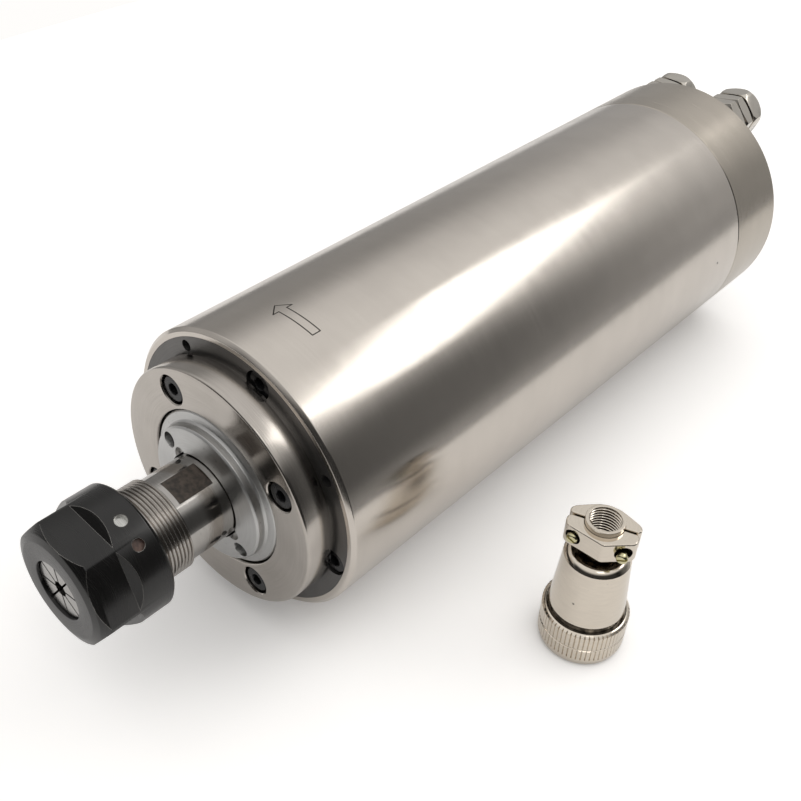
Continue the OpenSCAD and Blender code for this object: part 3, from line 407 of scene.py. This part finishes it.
cap_steel = lathe_finish("cap_steel", (0.53, 0.485, 0.425), (0.47, 0.43, 0.375), 0.24, stretch=0.5, line=0.2,
                         deep=0.9, band=6.0, band_deep=1.2, edge=0.15)
coat(cap_steel, "rear_cap")


# ---------------------------------------------------------------- water jacket and seals
# Inside the sleeve lies an aluminium jacket with milled coolant channels, closed by two
# black rubber rings. Both are seen only when the part is taken apart.
jacket_alloy = lathe_finish("jacket_alloy", (0.80, 0.81, 0.82), (0.70, 0.71, 0.72), 0.38, stretch=0.4,
                            line=0.5, deep=4, band=3.0, band_deep=5)
coat(jacket_alloy, "water_jacket", "rear_housing")


def moulded(name, colour, roughness, grain=900.0, deep=6.0, vary=0.25, patch=180.0):
    """Moulded resin or rubber: one colour with a slight mottle and a fine grain."""
    finish, tree = fresh(name)
    body = tree.nodes['Principled BSDF']
    where = add(tree, 'ShaderNodeTexCoord').outputs['Object']
    mottle = noise(tree, where, scale=patch, detail=4)
    fine = noise(tree, where, scale=grain, detail=2)
    tree.links.new(blend(tree, mottle, tuple(c*(1 - vary) for c in colour),
                         tuple(c*(1 + vary) for c in colour)), body.inputs['Base Color'])
    tree.links.new(span(tree, fine, roughness - 0.06, roughness + 0.06), body.inputs['Roughness'])
    tree.links.new(relief(tree, [(fine, deep)]), body.inputs['Normal'])
    return finish


seal_rubber = moulded("seal_rubber", (0.022, 0.022, 0.024), 0.62)
coat(seal_rubber, "jacket_seals")


# ---------------------------------------------------------------- front housing
# A dark grey turned disc just inside the sleeve's mouth holds the front bearings. Four cap
# screws pull it to the jacket, and four small tapped holes take jacking screws.
housing_grey = lathe_finish("housing_grey", (0.165, 0.160, 0.155), (0.115, 0.112, 0.110), 0.33, stretch=0.4,
                            line=0.3, deep=1.5, band=4.0, band_deep=1.5, metallic=0.75)
coat(housing_grey, "front_housing")


# ---------------------------------------------------------------- cap screws
# Black oxide socket screws, metric 4, sunk in counterbores: four in the front housing, four
# in the flange and four in the rear cap.
def settle(piece, place):
    """Moves a piece by a matrix and keeps the move in its mesh."""
    piece.matrix_world = place
    pick(piece)
    bpy.ops.object.transform_apply()
    return piece


def clock_turn(clock):
    """The turn round the spindle's axis to a clock angle in degrees."""
    return Matrix.Rotation(math.radians(clock), 4, 'Y')


def at_clock(piece, radius, clock, along):
    """Moves a piece made upright at the origin out to a radius, at a clock angle, and along the spindle."""
    settle(piece, clock_turn(clock) @ Matrix.Translation((0, MM*along, MM*radius)))


def twin(piece, name):
    """A copy of a piece with its own mesh."""
    pick(piece)
    bpy.ops.object.duplicate()
    copy = bpy.context.object
    copy.name = copy.data.name = name
    return copy


def joined(pieces, name):
    """Joins several copies to one piece."""
    pick(pieces[0])
    for piece in pieces[1:]:
        piece.select_set(True)
    bpy.ops.object.join()
    whole = bpy.context.object
    whole.name = whole.data.name = name
    return whole


def cut_away(piece, cutter, how='DIFFERENCE'):
    """Cuts a piece with another one, which is used up."""
    pick(piece)
    cut = piece.modifiers.new("Cut", 'BOOLEAN')
    cut.operation, cut.object, cut.solver = how, cutter, 'EXACT'
    bpy.ops.object.modifier_apply(modifier=cut.name)
    bpy.data.objects.remove(cutter)
    bpy.ops.object.shade_smooth_by_angle(angle=math.radians(32))


def hexagon(name, across, start, end, corner=0.0):
    """A hexagonal bar along Y, in millimetres, with one corner up and turned by corner degrees."""
    bpy.ops.object.select_all(action='DESELECT')
    bpy.ops.mesh.primitive_cylinder_add(vertices=6, radius=MM*across/math.sqrt(3), depth=MM*(end - start))
    bar = bpy.context.object
    bar.name = bar.data.name = name
    middle = Matrix.Translation((0, MM*(start + end)/2, 0))
    return settle(bar, clock_turn(corner) @ middle @ Matrix.Rotation(math.pi/2, 4, 'X'))


def cap_screw(name, reach):
    """A socket screw with its head's face at y = 0 and its shank towards +Y."""
    screw_head_r, screw_head_l, shank_r, key_across, key_deep, key_turn = 3.5, 4, 2, 3.0, 2.2, 13
    end = screw_head_l + reach
    outline = [(0, 0), (screw_head_r, 0, 0.35), (screw_head_r, screw_head_l, 0.1), (shank_r, screw_head_l),
               (shank_r, end - 0.5), (shank_r - 0.5, end), (0, end)]
    screw = turned(name, outline, closed=False, sides=64)
    cut_away(screw, hexagon("key", key_across, -1, key_deep, key_turn))
    cut_away(screw, turned("key_edge", [(0, -0.5), (2.2, -0.5), (1.6, 0.18), (0, 0.9)], closed=False,
                           sides=48))
    return screw


black_oxide = lathe_finish("black_oxide", (0.040, 0.040, 0.043), (0.022, 0.022, 0.024), 0.30, stretch=0.2,
                           line=0.2, deep=1.0, metallic=0.55)
flange_circle, flange_clock = 27.4, -29.3
for name, reach, radius, clock, along, solids in (
        ("housing_cap_screws", 15.4, 34.0, 14.3, 0.6, "housing_screws"),
        ("flange_cap_screws", 12.0, flange_circle, flange_clock, -8.0, "flange_screws")):
    pattern = cap_screw("screw_pattern", reach)
    screws = [twin(pattern, "screw_%d" % i) for i in range(4)]
    for i, screw in enumerate(screws):
        at_clock(screw, radius, clock + 90*i, along)
    dress(joined(screws, name), "housing", "black_screws", black_oxide, solids)
    bpy.data.objects.remove(pattern)
coat(black_oxide, "rear_cap_screws")


# ---------------------------------------------------------------- front flange
# A thick steel ring, turned and lightly polished, with rounded bright edges. Four cap
# screws hold it to the front housing and press the bearings home.
flange_steel = lathe_finish("flange_steel", (0.55, 0.515, 0.48), (0.44, 0.41, 0.375), 0.22, stretch=0.5,
                            line=0.3, deep=1.6, band=3.0, band_deep=2.0)
flange = turned("bearing_flange", [(22.2, 3.8), (22.2, -8.6, 0.45), (33.6, -8.6, 0.8), (33.6, -1.2, 0.3),
                                   (32.6, -1.2), (32.6, 0), (23.47, 0), (23.47, 3.8)])
for i in range(4):
    sink = turned("sink", [(0, -9.6), (5.15, -9.6), (4.05, -8.3), (4.05, -4.0), (2.2, -4.0), (2.2, 1),
                           (0, 1)], closed=False, sides=64)
    at_clock(sink, flange_circle, flange_clock + 90*i, 0)
    cut_away(flange, sink)
dress(flange, "housing", "flange_steel", flange_steel, "front_flange")


# ---------------------------------------------------------------- front and rear bearings
# Ground ring bearings: two at the nose, one at the rear, with brown resin cages, and steel
# spacers and a spring ring between them.
bearing_steel = lathe_finish("bearing_steel", (0.76, 0.76, 0.78), (0.66, 0.66, 0.68), 0.16, stretch=0.3,
                             line=0.15, deep=0.6)
coat(bearing_steel, "front_outer_rings", "front_outer_spacer", "front_inner_rings", "front_inner_spacer",
     "rear_outer_ring", "rear_inner_ring", "preload_spring", "front_balls", "rear_balls")
cage_resin = moulded("cage_resin", (0.40, 0.24, 0.11), 0.5, grain=1500)
coat(cage_resin, "front_cages", "rear_cage")


# ---------------------------------------------------------------- gland ring
# A dull aluminium ring, turned with a stepped rim, closes the bearings and turns with the
# shaft. Two blind holes take a pin spanner, and two small notches open into its mouth.
gland_alloy = lathe_finish("gland_alloy", (0.60, 0.60, 0.595), (0.48, 0.48, 0.475), 0.40, stretch=0.35,
                           line=0.28, deep=4.0, band=1.4, band_deep=4.0, spots=0.35, edge=0.12)
gland = turned("gland_ring", [(12.53, 3.8), (12.53, -8.2), (11.9, -8.2), (11.9, -12.15, 0.15),
                              (18.45, -11.4, 0.1), (18.95, -10.9, 0.1), (18.95, -9.1, 0.2),
                              (19.45, -8.5, 0.1), (21.4, -8.2, 0.1), (21.8, -7.8, 0.1), (21.8, 3.3),
                              (15.4, 3.3), (15.4, 3.8)])
hole_circle, notch_circle = 16.3, 11.6
for clock in (-49, 131):
    hole = turned("hole", [(0, -13.1), (2.3, -12.1), (2.1, -11.5), (2.1, -8.7), (0, -8.2)], closed=False,
                  sides=48)
    at_clock(hole, hole_circle, clock, 0)
    cut_away(gland, hole)
for clock in (-41, 121):
    notch = turned("notch", [(0, -15.1), (2.6, -15.1), (2.5, -12.6, 0.5), (1.7, -11.1, 0.6), (0, -10.7)],
                   closed=False, sides=48)
    at_clock(notch, notch_circle, clock, 0)
    cut_away(gland, notch)
dress(gland, "rotor", "gland_alloy", gland_alloy, "gland")


# ---------------------------------------------------------------- shaft
# The shaft is ground steel. Its nose has a fine thread for the nut and two ground flats for
# the wrench; it is bored and tapered for the collet.
shaft_steel = lathe_finish("shaft_steel", (0.47, 0.455, 0.435), (0.35, 0.335, 0.32), 0.14, stretch=0.45,
                           line=0.2, deep=2.0, band=1.6, band_deep=3.0, spots=0.25)
stained_flat = moulded("stained_flat", (0.058, 0.044, 0.034), 0.40, grain=2200, deep=8.0, vary=0.6, patch=800)
rear_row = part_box("rear_inner_ring")[0][1]/MM
shaft_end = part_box("shaft")[1][1]/MM
core_low, core_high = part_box("rotor_end_rings")[0][1]/MM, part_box("rotor_end_rings")[1][1]/MM
shaft = turned("spindle_shaft", [(0, -42.4), (11.7, -42.4), (11.9, -42.0), (11.9, -25.2), (11.5, -24.9),
                                 (11.5, -8.1), (12.5, -8.1), (12.5, 29.8), (15.2, 29.8), (15.2, core_low),
                                 (13, core_low), (13, core_high), (9.8, core_high + 3), (9.8, rear_row),
                                 (7.5, rear_row), (7.5, shaft_end - 0.6), (6.9, shaft_end), (0, shaft_end)],
               closed=False)


def paint(piece, finishes, used=0):
    """Gives a piece several finishes and lays one of them on all its faces."""
    for finish in finishes:
        piece.data.materials.append(finish)
    piece.data.polygons.foreach_set('material_index', [used]*len(piece.data.polygons))


paint(shaft, (shaft_steel, stained_flat))
wrench_clock, flat_along, wheel_middle = 14.7, -18.6, 16.4
for side in (0, 180):
    bpy.ops.object.select_all(action='DESELECT')
    bpy.ops.mesh.primitive_cube_add(size=1, location=(0, flat_along*MM, wheel_middle*MM),
                                    scale=(0.03, 0.010, 0.011))
    wheel = bpy.context.object
    bpy.ops.object.transform_apply()
    paint(wheel, (shaft_steel, stained_flat), 1)
    cut_away(shaft, settle(wheel, clock_turn(wrench_clock + side)))
taper = math.tan(math.radians(8))
collet_r, head_end, collet_out, seat_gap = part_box("collet")[1][0]/MM - 0.2, 9.596, 11.2, 0.01
seat_r = collet_r - (collet_out - head_end)*taper + seat_gap
seat = [(0, -43.4), (seat_r + taper, -43.4), (seat_r - 20.3*taper, -22.1), (5.5, -20.6), (5.5, -8.1),
        (0, -5.35)]
cut_away(shaft, turned("seat", seat, closed=False, sides=96))


def thread_ridge(name, root, crest, start, turns, pitch, axis='Y', inner=False, centre=(0, 0, 0)):
    """A screw thread's ridge, wound round the axis, with its ends closed."""
    base, tip, sunk = 0.44*pitch, 0.12*pitch, (0.06 if inner else -0.06)
    profile = [(root + sunk, -base), (root, -base), (crest, -tip), (crest, tip), (root, base),
               (root + sunk, base)]
    outward, along = ways(axis)
    ridge = drawn(name, [MM*(r*outward + (start + y)*along) for r, y in profile])
    bpy.ops.object.mode_set(mode='OBJECT')
    winding = ridge.modifiers.new("Winding", 'SCREW')
    winding.axis, winding.angle, winding.screw_offset = axis, 2*math.pi, MM*pitch
    winding.iterations, winding.steps, winding.render_steps = turns, 96, 96
    bpy.ops.object.modifier_apply(modifier=winding.name)
    bpy.ops.object.mode_set(mode='EDIT')
    bpy.ops.mesh.select_all(action='SELECT')
    bpy.ops.mesh.fill_holes(sides=6)
    return settle(solid(ridge), Matrix.Translation(MM*Vector(centre)))


ridge = thread_ridge("nose_thread", root=11.88, crest=12.4, start=-41.8, turns=16, pitch=1.03)
at_clock(ridge, 0, 160, 0)
thread_steel = lathe_finish("thread_steel", (0.40, 0.375, 0.35), (0.26, 0.24, 0.22), 0.22, stretch=0.2,
                            line=0.3, deep=1.0, edge=0.10, rubbed=(0.80, 0.77, 0.73))
ridge.data.materials.append(thread_steel)
dress(joined([shaft, ridge], "spindle_shaft"), "rotor", "shaft_steel", shaft_steel, "shaft")


# ---------------------------------------------------------------- rotor and stator
# Cores of stacked sheet with cast end rings and copper windings, inside the body. They show
# only when the part is taken apart.
core_sheet = lathe_finish("core_sheet", (0.32, 0.33, 0.35), (0.24, 0.25, 0.27), 0.42, stretch=0.3, line=0.5,
                          deep=12, band=0.5, band_deep=8)
coat(core_sheet, "rotor_core", "stator_core")
end_ring_alloy = lathe_finish("end_ring_alloy", (0.80, 0.80, 0.80), (0.68, 0.68, 0.69), 0.45, stretch=0.2,
                              line=0.6, deep=5, spots=0.3)
coat(end_ring_alloy, "rotor_end_rings")
winding_copper = lathe_finish("winding_copper", (0.66, 0.27, 0.10), (0.42, 0.14, 0.05), 0.34, stretch=0.2,
                              line=0.8, deep=60, band=0.8, band_deep=30, metallic=0.8)
coat(winding_copper, "stator_winding")
lock_nut_black = lathe_finish("lock_nut_black", (0.05, 0.05, 0.055), (0.03, 0.03, 0.032), 0.36, stretch=0.3,
                              metallic=0.6)
coat(lock_nut_black, "rear_lock_nut")


# ---------------------------------------------------------------- collet
# A slotted spring collet of ground steel, dark with oil, seen in the mouth of the nut. It sits
# in the shaft's taper, and its groove hooks behind a ring inside the nut.
collet_steel = lathe_finish("collet_steel", (0.50, 0.49, 0.475), (0.36, 0.35, 0.34), 0.26, stretch=0.3,
                            line=0.2, deep=1.5, spots=0.2, edge=0.1)
coat(collet_steel, "collet")


# ---------------------------------------------------------------- collet nut
# The clamping nut is black oxide steel: a hexagon in front for the wrench, a round skirt
# behind it, a bevelled face, and two shallow drillings that balance it.
nut_black = lathe_finish("nut_black", (0.012, 0.0115, 0.011), (0.005, 0.005, 0.005), 0.28, stretch=0.0,
                         line=0.25, deep=0.35, band=2.5, band_deep=0.4, metallic=0.0, spread=0.05, edge=0.22,
                         rubbed=(0.60, 0.58, 0.55), ior=1.5)
drilled_steel = lathe_finish("drilled_steel", (0.62, 0.62, 0.60), (0.40, 0.40, 0.385), 0.30, stretch=0.1,
                             line=0.2, deep=3.0, spots=0.4)
dried_oil = moulded("dried_oil", (0.13, 0.085, 0.070), 0.35, grain=2500, deep=8.0, vary=0.5, patch=900)
collet_face, nose_l, head_r, nose_r = -53.6, 1.6, 10.5, 7.5
cone_end = collet_face + nose_l + (head_r - nose_r)*math.sqrt(3)
nut_r = 16.7
nut = turned("clamping_nut", [(7.8, -54.4, 0.25), (12.9, -54.4, 0.2), (14.8, -53.8, 0.2),
                              (nut_r, -52.03, 0.25), (nut_r, -34.9, 0.25), (15.9, -34.1, 0.25),
                              (13.15, -34.1), (12.55, -34.7), (12.55, -42.6), (10.75, -42.6),
                              (10.75, cone_end + 2.25), (9.05, cone_end + 2.25), (9.05, cone_end + 0.75),
                              (10.75, cone_end + 0.75), (10.75, cone_end), (10.55, cone_end - 0.05),
                              (7.8, -51.75)], sides=192)
nut_finishes = (nut_black, drilled_steel, dried_oil)
paint(nut, nut_finishes)


def slab(name, spots, depth):
    """A closed outline, in metres, drawn out along a vector to a solid."""
    piece = drawn(name, spots)
    bpy.ops.mesh.edge_face_add()
    bpy.ops.mesh.extrude_region_move(TRANSFORM_OT_translate={"value": depth})
    return solid(piece)


flat_half, flat_end, run_out, nut_corner = 14.75, -44.4, 2.2, 37.3
side_view = [(-55.4, flat_half), (flat_end, flat_half), (flat_end + run_out, flat_half + run_out),
             (-55.4, flat_half + run_out)]
for i in range(6):
    flat = slab("flat", [MM*Vector((-18, y, z)) for y, z in side_view], Vector((0.036, 0, 0)))
    cut_away(nut, settle(flat, clock_turn(nut_corner + 30 + 60*i)))
drill_r, drill_height, drill_along = 1.5, 1.8, -39.2
for clock, floor in ((21, 1), (44, 2)):
    bpy.ops.object.select_all(action='DESELECT')
    bpy.ops.mesh.primitive_cylinder_add(vertices=48, radius=drill_r*MM, depth=drill_height*MM,
                                        location=(0, 0, nut_r*MM))
    drill = bpy.context.object
    bpy.ops.object.transform_apply()
    paint(drill, nut_finishes, floor)
    cut_away(nut, settle(drill, clock_turn(clock) @ Matrix.Translation((0, drill_along*MM, 0))))
dress(nut, "collet_nut", "nut_black", nut_black, "collet_nut")


# ---------------------------------------------------------------- hose unions
# Two nickel plated unions on the rear face: a copper sealing ring, a lock nut, the body's
# hexagon, and a union nut whose outer end is rounded over.
nickel = lathe_finish("union_nickel", (0.70, 0.665, 0.61), (0.60, 0.565, 0.51), 0.15, stretch=0.2, line=0.35,
                      deep=1.2, band=2.0, band_deep=1.0, spots=0.15, edge=0.2)
coat(nickel, "union_bodies", "union_lock_nuts")
union_circle, body_end = 30.6, 213
domed = [(0, 11), (8.1, 11), (8.6, 12.0, 0.2), (9.3, 13.6, 0.8), (9.3, 16.2, 1.3), (8.0, 18.9, 1.2),
         (6.3, 20, 0.7), (0, 20.0)]
nose_bore = [(0, 10), (6.05, 10), (6.05, 18.4), (4.1, 18.4), (4.1, 21), (0, 21)]
for letter, clock in (("a", -29.5), ("b", 19)):
    union_nut = hexagon("union_nut", 16, 12, 20.1)
    cut_away(union_nut, turned("domed", domed, closed=False), 'INTERSECT')
    cut_away(union_nut, turned("nose_bore", nose_bore, closed=False, sides=96))
    at_clock(union_nut, union_circle, clock, body_end)
    dress(union_nut, "union_nut_" + letter, "nickel", nickel, "union_nut_" + letter)
seal_copper = lathe_finish("seal_copper", (0.70, 0.36, 0.20), (0.52, 0.24, 0.12), 0.35, stretch=0.2)
coat(seal_copper, "union_seals")
ferrule_brass = lathe_finish("ferrule_brass", (0.78, 0.58, 0.27), (0.66, 0.47, 0.20), 0.25, stretch=0.2)
coat(ferrule_brass, "ferrule_a", "ferrule_b")


# ---------------------------------------------------------------- cable receptacle
# The socket on the rear face that the loose plug screws onto: a nickel plated barrel held by a
# panel nut, with brass pins set in a brown resin insulator.
coat(nickel, "receptacle_shell", "receptacle_nut")
coat(ferrule_brass, "receptacle_pins")
insulator_brown = moulded("insulator_brown", (0.05, 0.032, 0.022), 0.42)
coat(insulator_brown, "receptacle_insulator")


# ---------------------------------------------------------------- loose plug
# The cable plug is turned brass with bright nickel: a tapered shell, a knurled coupling ring
# round its foot, and two clamp halves pulled together by two yellow zinc screws.
plug_place = (78.2, 48.5, floor_height/MM)
speck_place = (79.08, 39.08, -19.68)
plug_stand = Matrix.Translation(MM*Vector(plug_place)) @ Matrix.Rotation(math.radians(19), 4, 'Z')
coat(ferrule_brass, "plug_sockets")
coat(insulator_brown, "plug_insulator")


def within(tree, value, low, high, soft):
    """A mask that is 1 where value lies between two bounds."""
    above = steps(tree, value, low - soft, low + soft, 0.0, 1.0)
    return combine(tree, 'MULTIPLY', above, steps(tree, value, high - soft, high + soft, 1.0, 0.0))


def plug_speck_and_painted_shade(tree, where):
    """One small dirt speck on the cone, and painted shade that darkens the recess between shell and ring and
    the dish under the clamp.
    """
    local = vectors(tree, 'SUBTRACT', where, MM*Vector(plug_place))
    height = add(tree, 'ShaderNodeSeparateXYZ', {0: local}).outputs['Z']
    flat = vectors(tree, 'MULTIPLY', local, (1, 1, 0))
    reach = add(tree, 'ShaderNodeVectorMath', {0: flat}, operation='LENGTH').outputs['Value']
    away = vectors(tree, 'DISTANCE', where, MM*Vector(speck_place), 'Value')
    grains = noise(tree, where, scale=2600, detail=2)
    speck = combine(tree, 'ADD', away, span(tree, grains, 0.0, 0.45*MM))
    speck_and_painted_shade = steps(tree, speck, 0.45*MM, 0.6*MM, 0.8, 0.0)
    painted_shade_patchiness = span(tree, noise(tree, where, scale=600, detail=2), 0.55, 0.9)
    # Painted shade: the gap between the shell's neck and the ring's lip, and the dish under the clamp, are
    # darkened in patches.
    for low, high, inner, outer in ((10.9, 13.1, 9.2, 10.45), (28.0, 31.9, 5.1, 7.1)):
        patch = combine(tree, 'MULTIPLY', within(tree, height, low*MM, high*MM, 0.15*MM),
                        within(tree, reach, inner*MM, outer*MM, 0.1*MM))
        patch = combine(tree, 'MULTIPLY', patch, painted_shade_patchiness)
        speck_and_painted_shade = combine(tree, 'MAXIMUM', speck_and_painted_shade, patch)
    return speck_and_painted_shade


# The plug's finish paints shade into the ring's recess and the dish under the clamp, and carries one dirt
# speck on the cone.
plug_nickel = lathe_finish("plug_nickel", (0.75, 0.685, 0.595), (0.67, 0.61, 0.53), 0.11, axis='Z',
                           centre=plug_place, stretch=0.15, line=0.5, deep=0.3, band=2.5, band_deep=0.5,
                           spots=0.15, edge=0.1, marks_and_shade=plug_speck_and_painted_shade)
shoulder = [(8.62, 30.9), (8.27, 31.5), (7.9, 31.97), (7.5, 32.28), (7.1, 32.45)]
shell = turned("plug_shell_turned", [(7.7, 1.2), (9.1, 1.2), (9.1, 9.5), (10.05, 9.5), (10.05, 10.9),
                                     (9.35, 10.9), (9.35, 13.2), (9.8, 13.25, 0.1), (10.0, 13.6, 0.15),
                                     *shoulder, (6.85, 32.35, 0.08), (6.8, 28.9), (5.0, 30.7),
                                     (5.0, 43.3, 0.15), (4.1, 43.3, 0.12), (4.1, 42.9), (4.5, 42.7),
                                     (4.5, 30.1), (7.7, 26.5)], axis='Z', centre=plug_place)
entry_thread = thread_ridge("entry_thread", root=4.5, crest=4.0, start=33.7, turns=10, pitch=0.9, axis='Z',
                            inner=True, centre=plug_place)
shell = joined([shell, entry_thread], "plug_shell_turned")
bpy.ops.object.shade_smooth_by_angle(angle=math.radians(21))
dress(shell, "housing", "nickel", plug_nickel, "plug_shell")

ring = turned("coupling_ring", [(9.55, 0), (10.4, 0, 0.1), (11.1, 0.7, 0.3), (11.5, 2.2, 0.3), (11.5, 6.05),
                                (11.1, 6.28), (11.1, 6.55), (11.5, 6.75), (11.5, 11.3), (10.95, 11.75, 0.1),
                                (10.5, 11.95, 0.1), (10.35, 11.5), (9.4, 11.4), (9.4, 11), (10.35, 11),
                                (10.35, 9.4), (9.55, 9.4)], axis='Z', centre=plug_place)
teeth, ridge_reach, star_foot = 60, 11.65, -40.5
for foot, groove in ((2.6, 11.15), (10.9, 10.8)):
    star = []
    for i in range(teeth):
        for share, reach in ((-0.3, ridge_reach), (0.3, ridge_reach), (0.5, groove)):
            angle = 2*math.pi*(i + share)/teeth
            across, back = reach*math.sin(angle), reach*math.cos(angle)
            star.append(MM*Vector((plug_place[0] + across, plug_place[1] - back, star_foot)))
    knurl = turned("knurl", [(0, foot), (12.5, foot), (12.5, 13.5), (0, 13.5)], closed=False, sides=48,
                   axis='Z', centre=plug_place)
    cut_away(knurl, slab("star", star, Vector((0, 0, 0.016))))
    cut_away(ring, knurl)
dress(ring, "plug_ring", "nickel", plug_nickel, "plug_ring")


clamp_foot, clamp_t, clamp_middle, screw_apart, sink_floor = 36.1, 5.4, 38.8, 6.4, 2.6


def clamp_half(name, plan, front):
    """One clamp half: a thick plate with rounded rims, bored for the tube and for the two screws."""
    half = slab(name, [MM*Vector((*p, clamp_foot)) for p in eased(plan)], Vector((0, 0, clamp_t*MM)))
    pick(half)
    bpy.ops.object.mode_set(mode='EDIT')
    bpy.ops.mesh.select_mode(type='FACE')
    bpy.ops.mesh.select_all(action='DESELECT')
    bpy.ops.object.mode_set(mode='OBJECT')
    for face in half.data.polygons:
        face.select = abs(face.normal.z) > 0.9
    bpy.ops.object.mode_set(mode='EDIT')
    for inward, out in ((0.09, 0.22), (0.22, 0.13)):
        bpy.ops.mesh.inset(thickness=inward*MM, depth=out*MM)
    bpy.ops.mesh.select_mode(type='VERT')
    solid(half)
    paint(half, (plug_nickel, dark_hole_wall))
    cut_away(half, turned("bore", [(0, 34), (5.12, 34), (5.12, 43), (0, 43)], closed=False, sides=96,
                          axis='Z'))
    sunk = [(0, 0), (1.0, 0), (1.0, sink_floor), (2.0, sink_floor), (2.0, 4.2), (2.2, 9), (0, 9)]
    plain = [(0, 0), (0.95, 0), (0.95, 9), (0, 9)]
    hole = [(r, -y) for r, y in sunk] if front else plain
    for x in (-screw_apart, screw_apart):
        drill = turned("hole", hole, closed=False, sides=48, centre=(x, 0, clamp_middle))
        paint(drill, (plug_nickel, dark_hole_wall), 1)
        cut_away(half, drill)
    return settle(half, plug_stand)


# The walls of the clamp's screw holes are given a dark finish.
dark_hole_wall = lathe_finish("dark_hole_wall", (0.17, 0.15, 0.13), (0.08, 0.07, 0.06), 0.3, axis='Z',
                         centre=plug_place, stretch=0.1, deep=3.0)
front_plan = [(-8.4, -0.38, 0.3), (-9.1, -1.2, 0.5), (-9.1, -2.9, 0.6), (-8.4, -4.1, 0.6), (-7.2, -4.65, 0.6),
              (1.2, -7.4, 0.15), (1.8, -7.4, 0.15), (7.2, -4.65, 0.6), (8.4, -4.1, 0.6), (9.1, -2.9, 0.6),
              (9.1, -1.2, 0.5), (8.4, -0.38, 0.3)]
back_plan = [(8.4, 0.38, 0.2), (9.1, 1.2, 0.4), (8.9, 2.3, 0.4), (8.1, 3.2, 0.4), (5.0, 5.0, 0.8),
             (2.8, 6.2, 0.8), (0, 6.7, 0.8), (-2.8, 6.2, 0.8), (-5.0, 5.0, 0.8), (-8.1, 3.2, 0.4),
             (-8.9, 2.3, 0.4), (-9.1, 1.2, 0.4), (-8.4, 0.38, 0.2)]
dress(clamp_half("clamp_front", front_plan, True), "plug_clamp", "nickel", plug_nickel, "plug_clamp_front")
dress(clamp_half("clamp_back", back_plan, False), "housing", "nickel", plug_nickel, "plug_clamp_back")

zinc_yellow = lathe_finish("zinc_yellow", (0.70, 0.66, 0.44), (0.54, 0.50, 0.30), 0.22, axis='Z',
                           centre=plug_place, stretch=0.1, edge=0.1)
screws = []
screw_outline = [(0, -1.3), (1.1, -1.3, 0.25), (1.45, -0.9, 0.15), (1.5, 0, 0.1), (0.9, 0), (0.9, 7.7),
                 (0.6, 8), (0, 8)]
driver_slot = [MM*Vector(p) for p in ((-2, -1.6, -0.25), (2, -1.6, -0.25), (2, -0.7, -0.25),
                                      (-2, -0.7, -0.25))]
for x, out, tilt in ((-screw_apart, 2.2, 35), (screw_apart, 3.6, -20)):
    screw = turned("plug_screw", screw_outline, closed=False, sides=48)
    cut_away(screw, slab("driver", driver_slot, Vector((0, 0, 0.0005))))
    settle(screw, Matrix.Translation(MM*Vector((x, -sink_floor - out, clamp_middle))) @ clock_turn(tilt))
    screws.append(settle(screw, plug_stand))
dress(joined(screws, "clamp_screws"), "plug_clamp", "zinc_screws", zinc_yellow, "plug_screws")
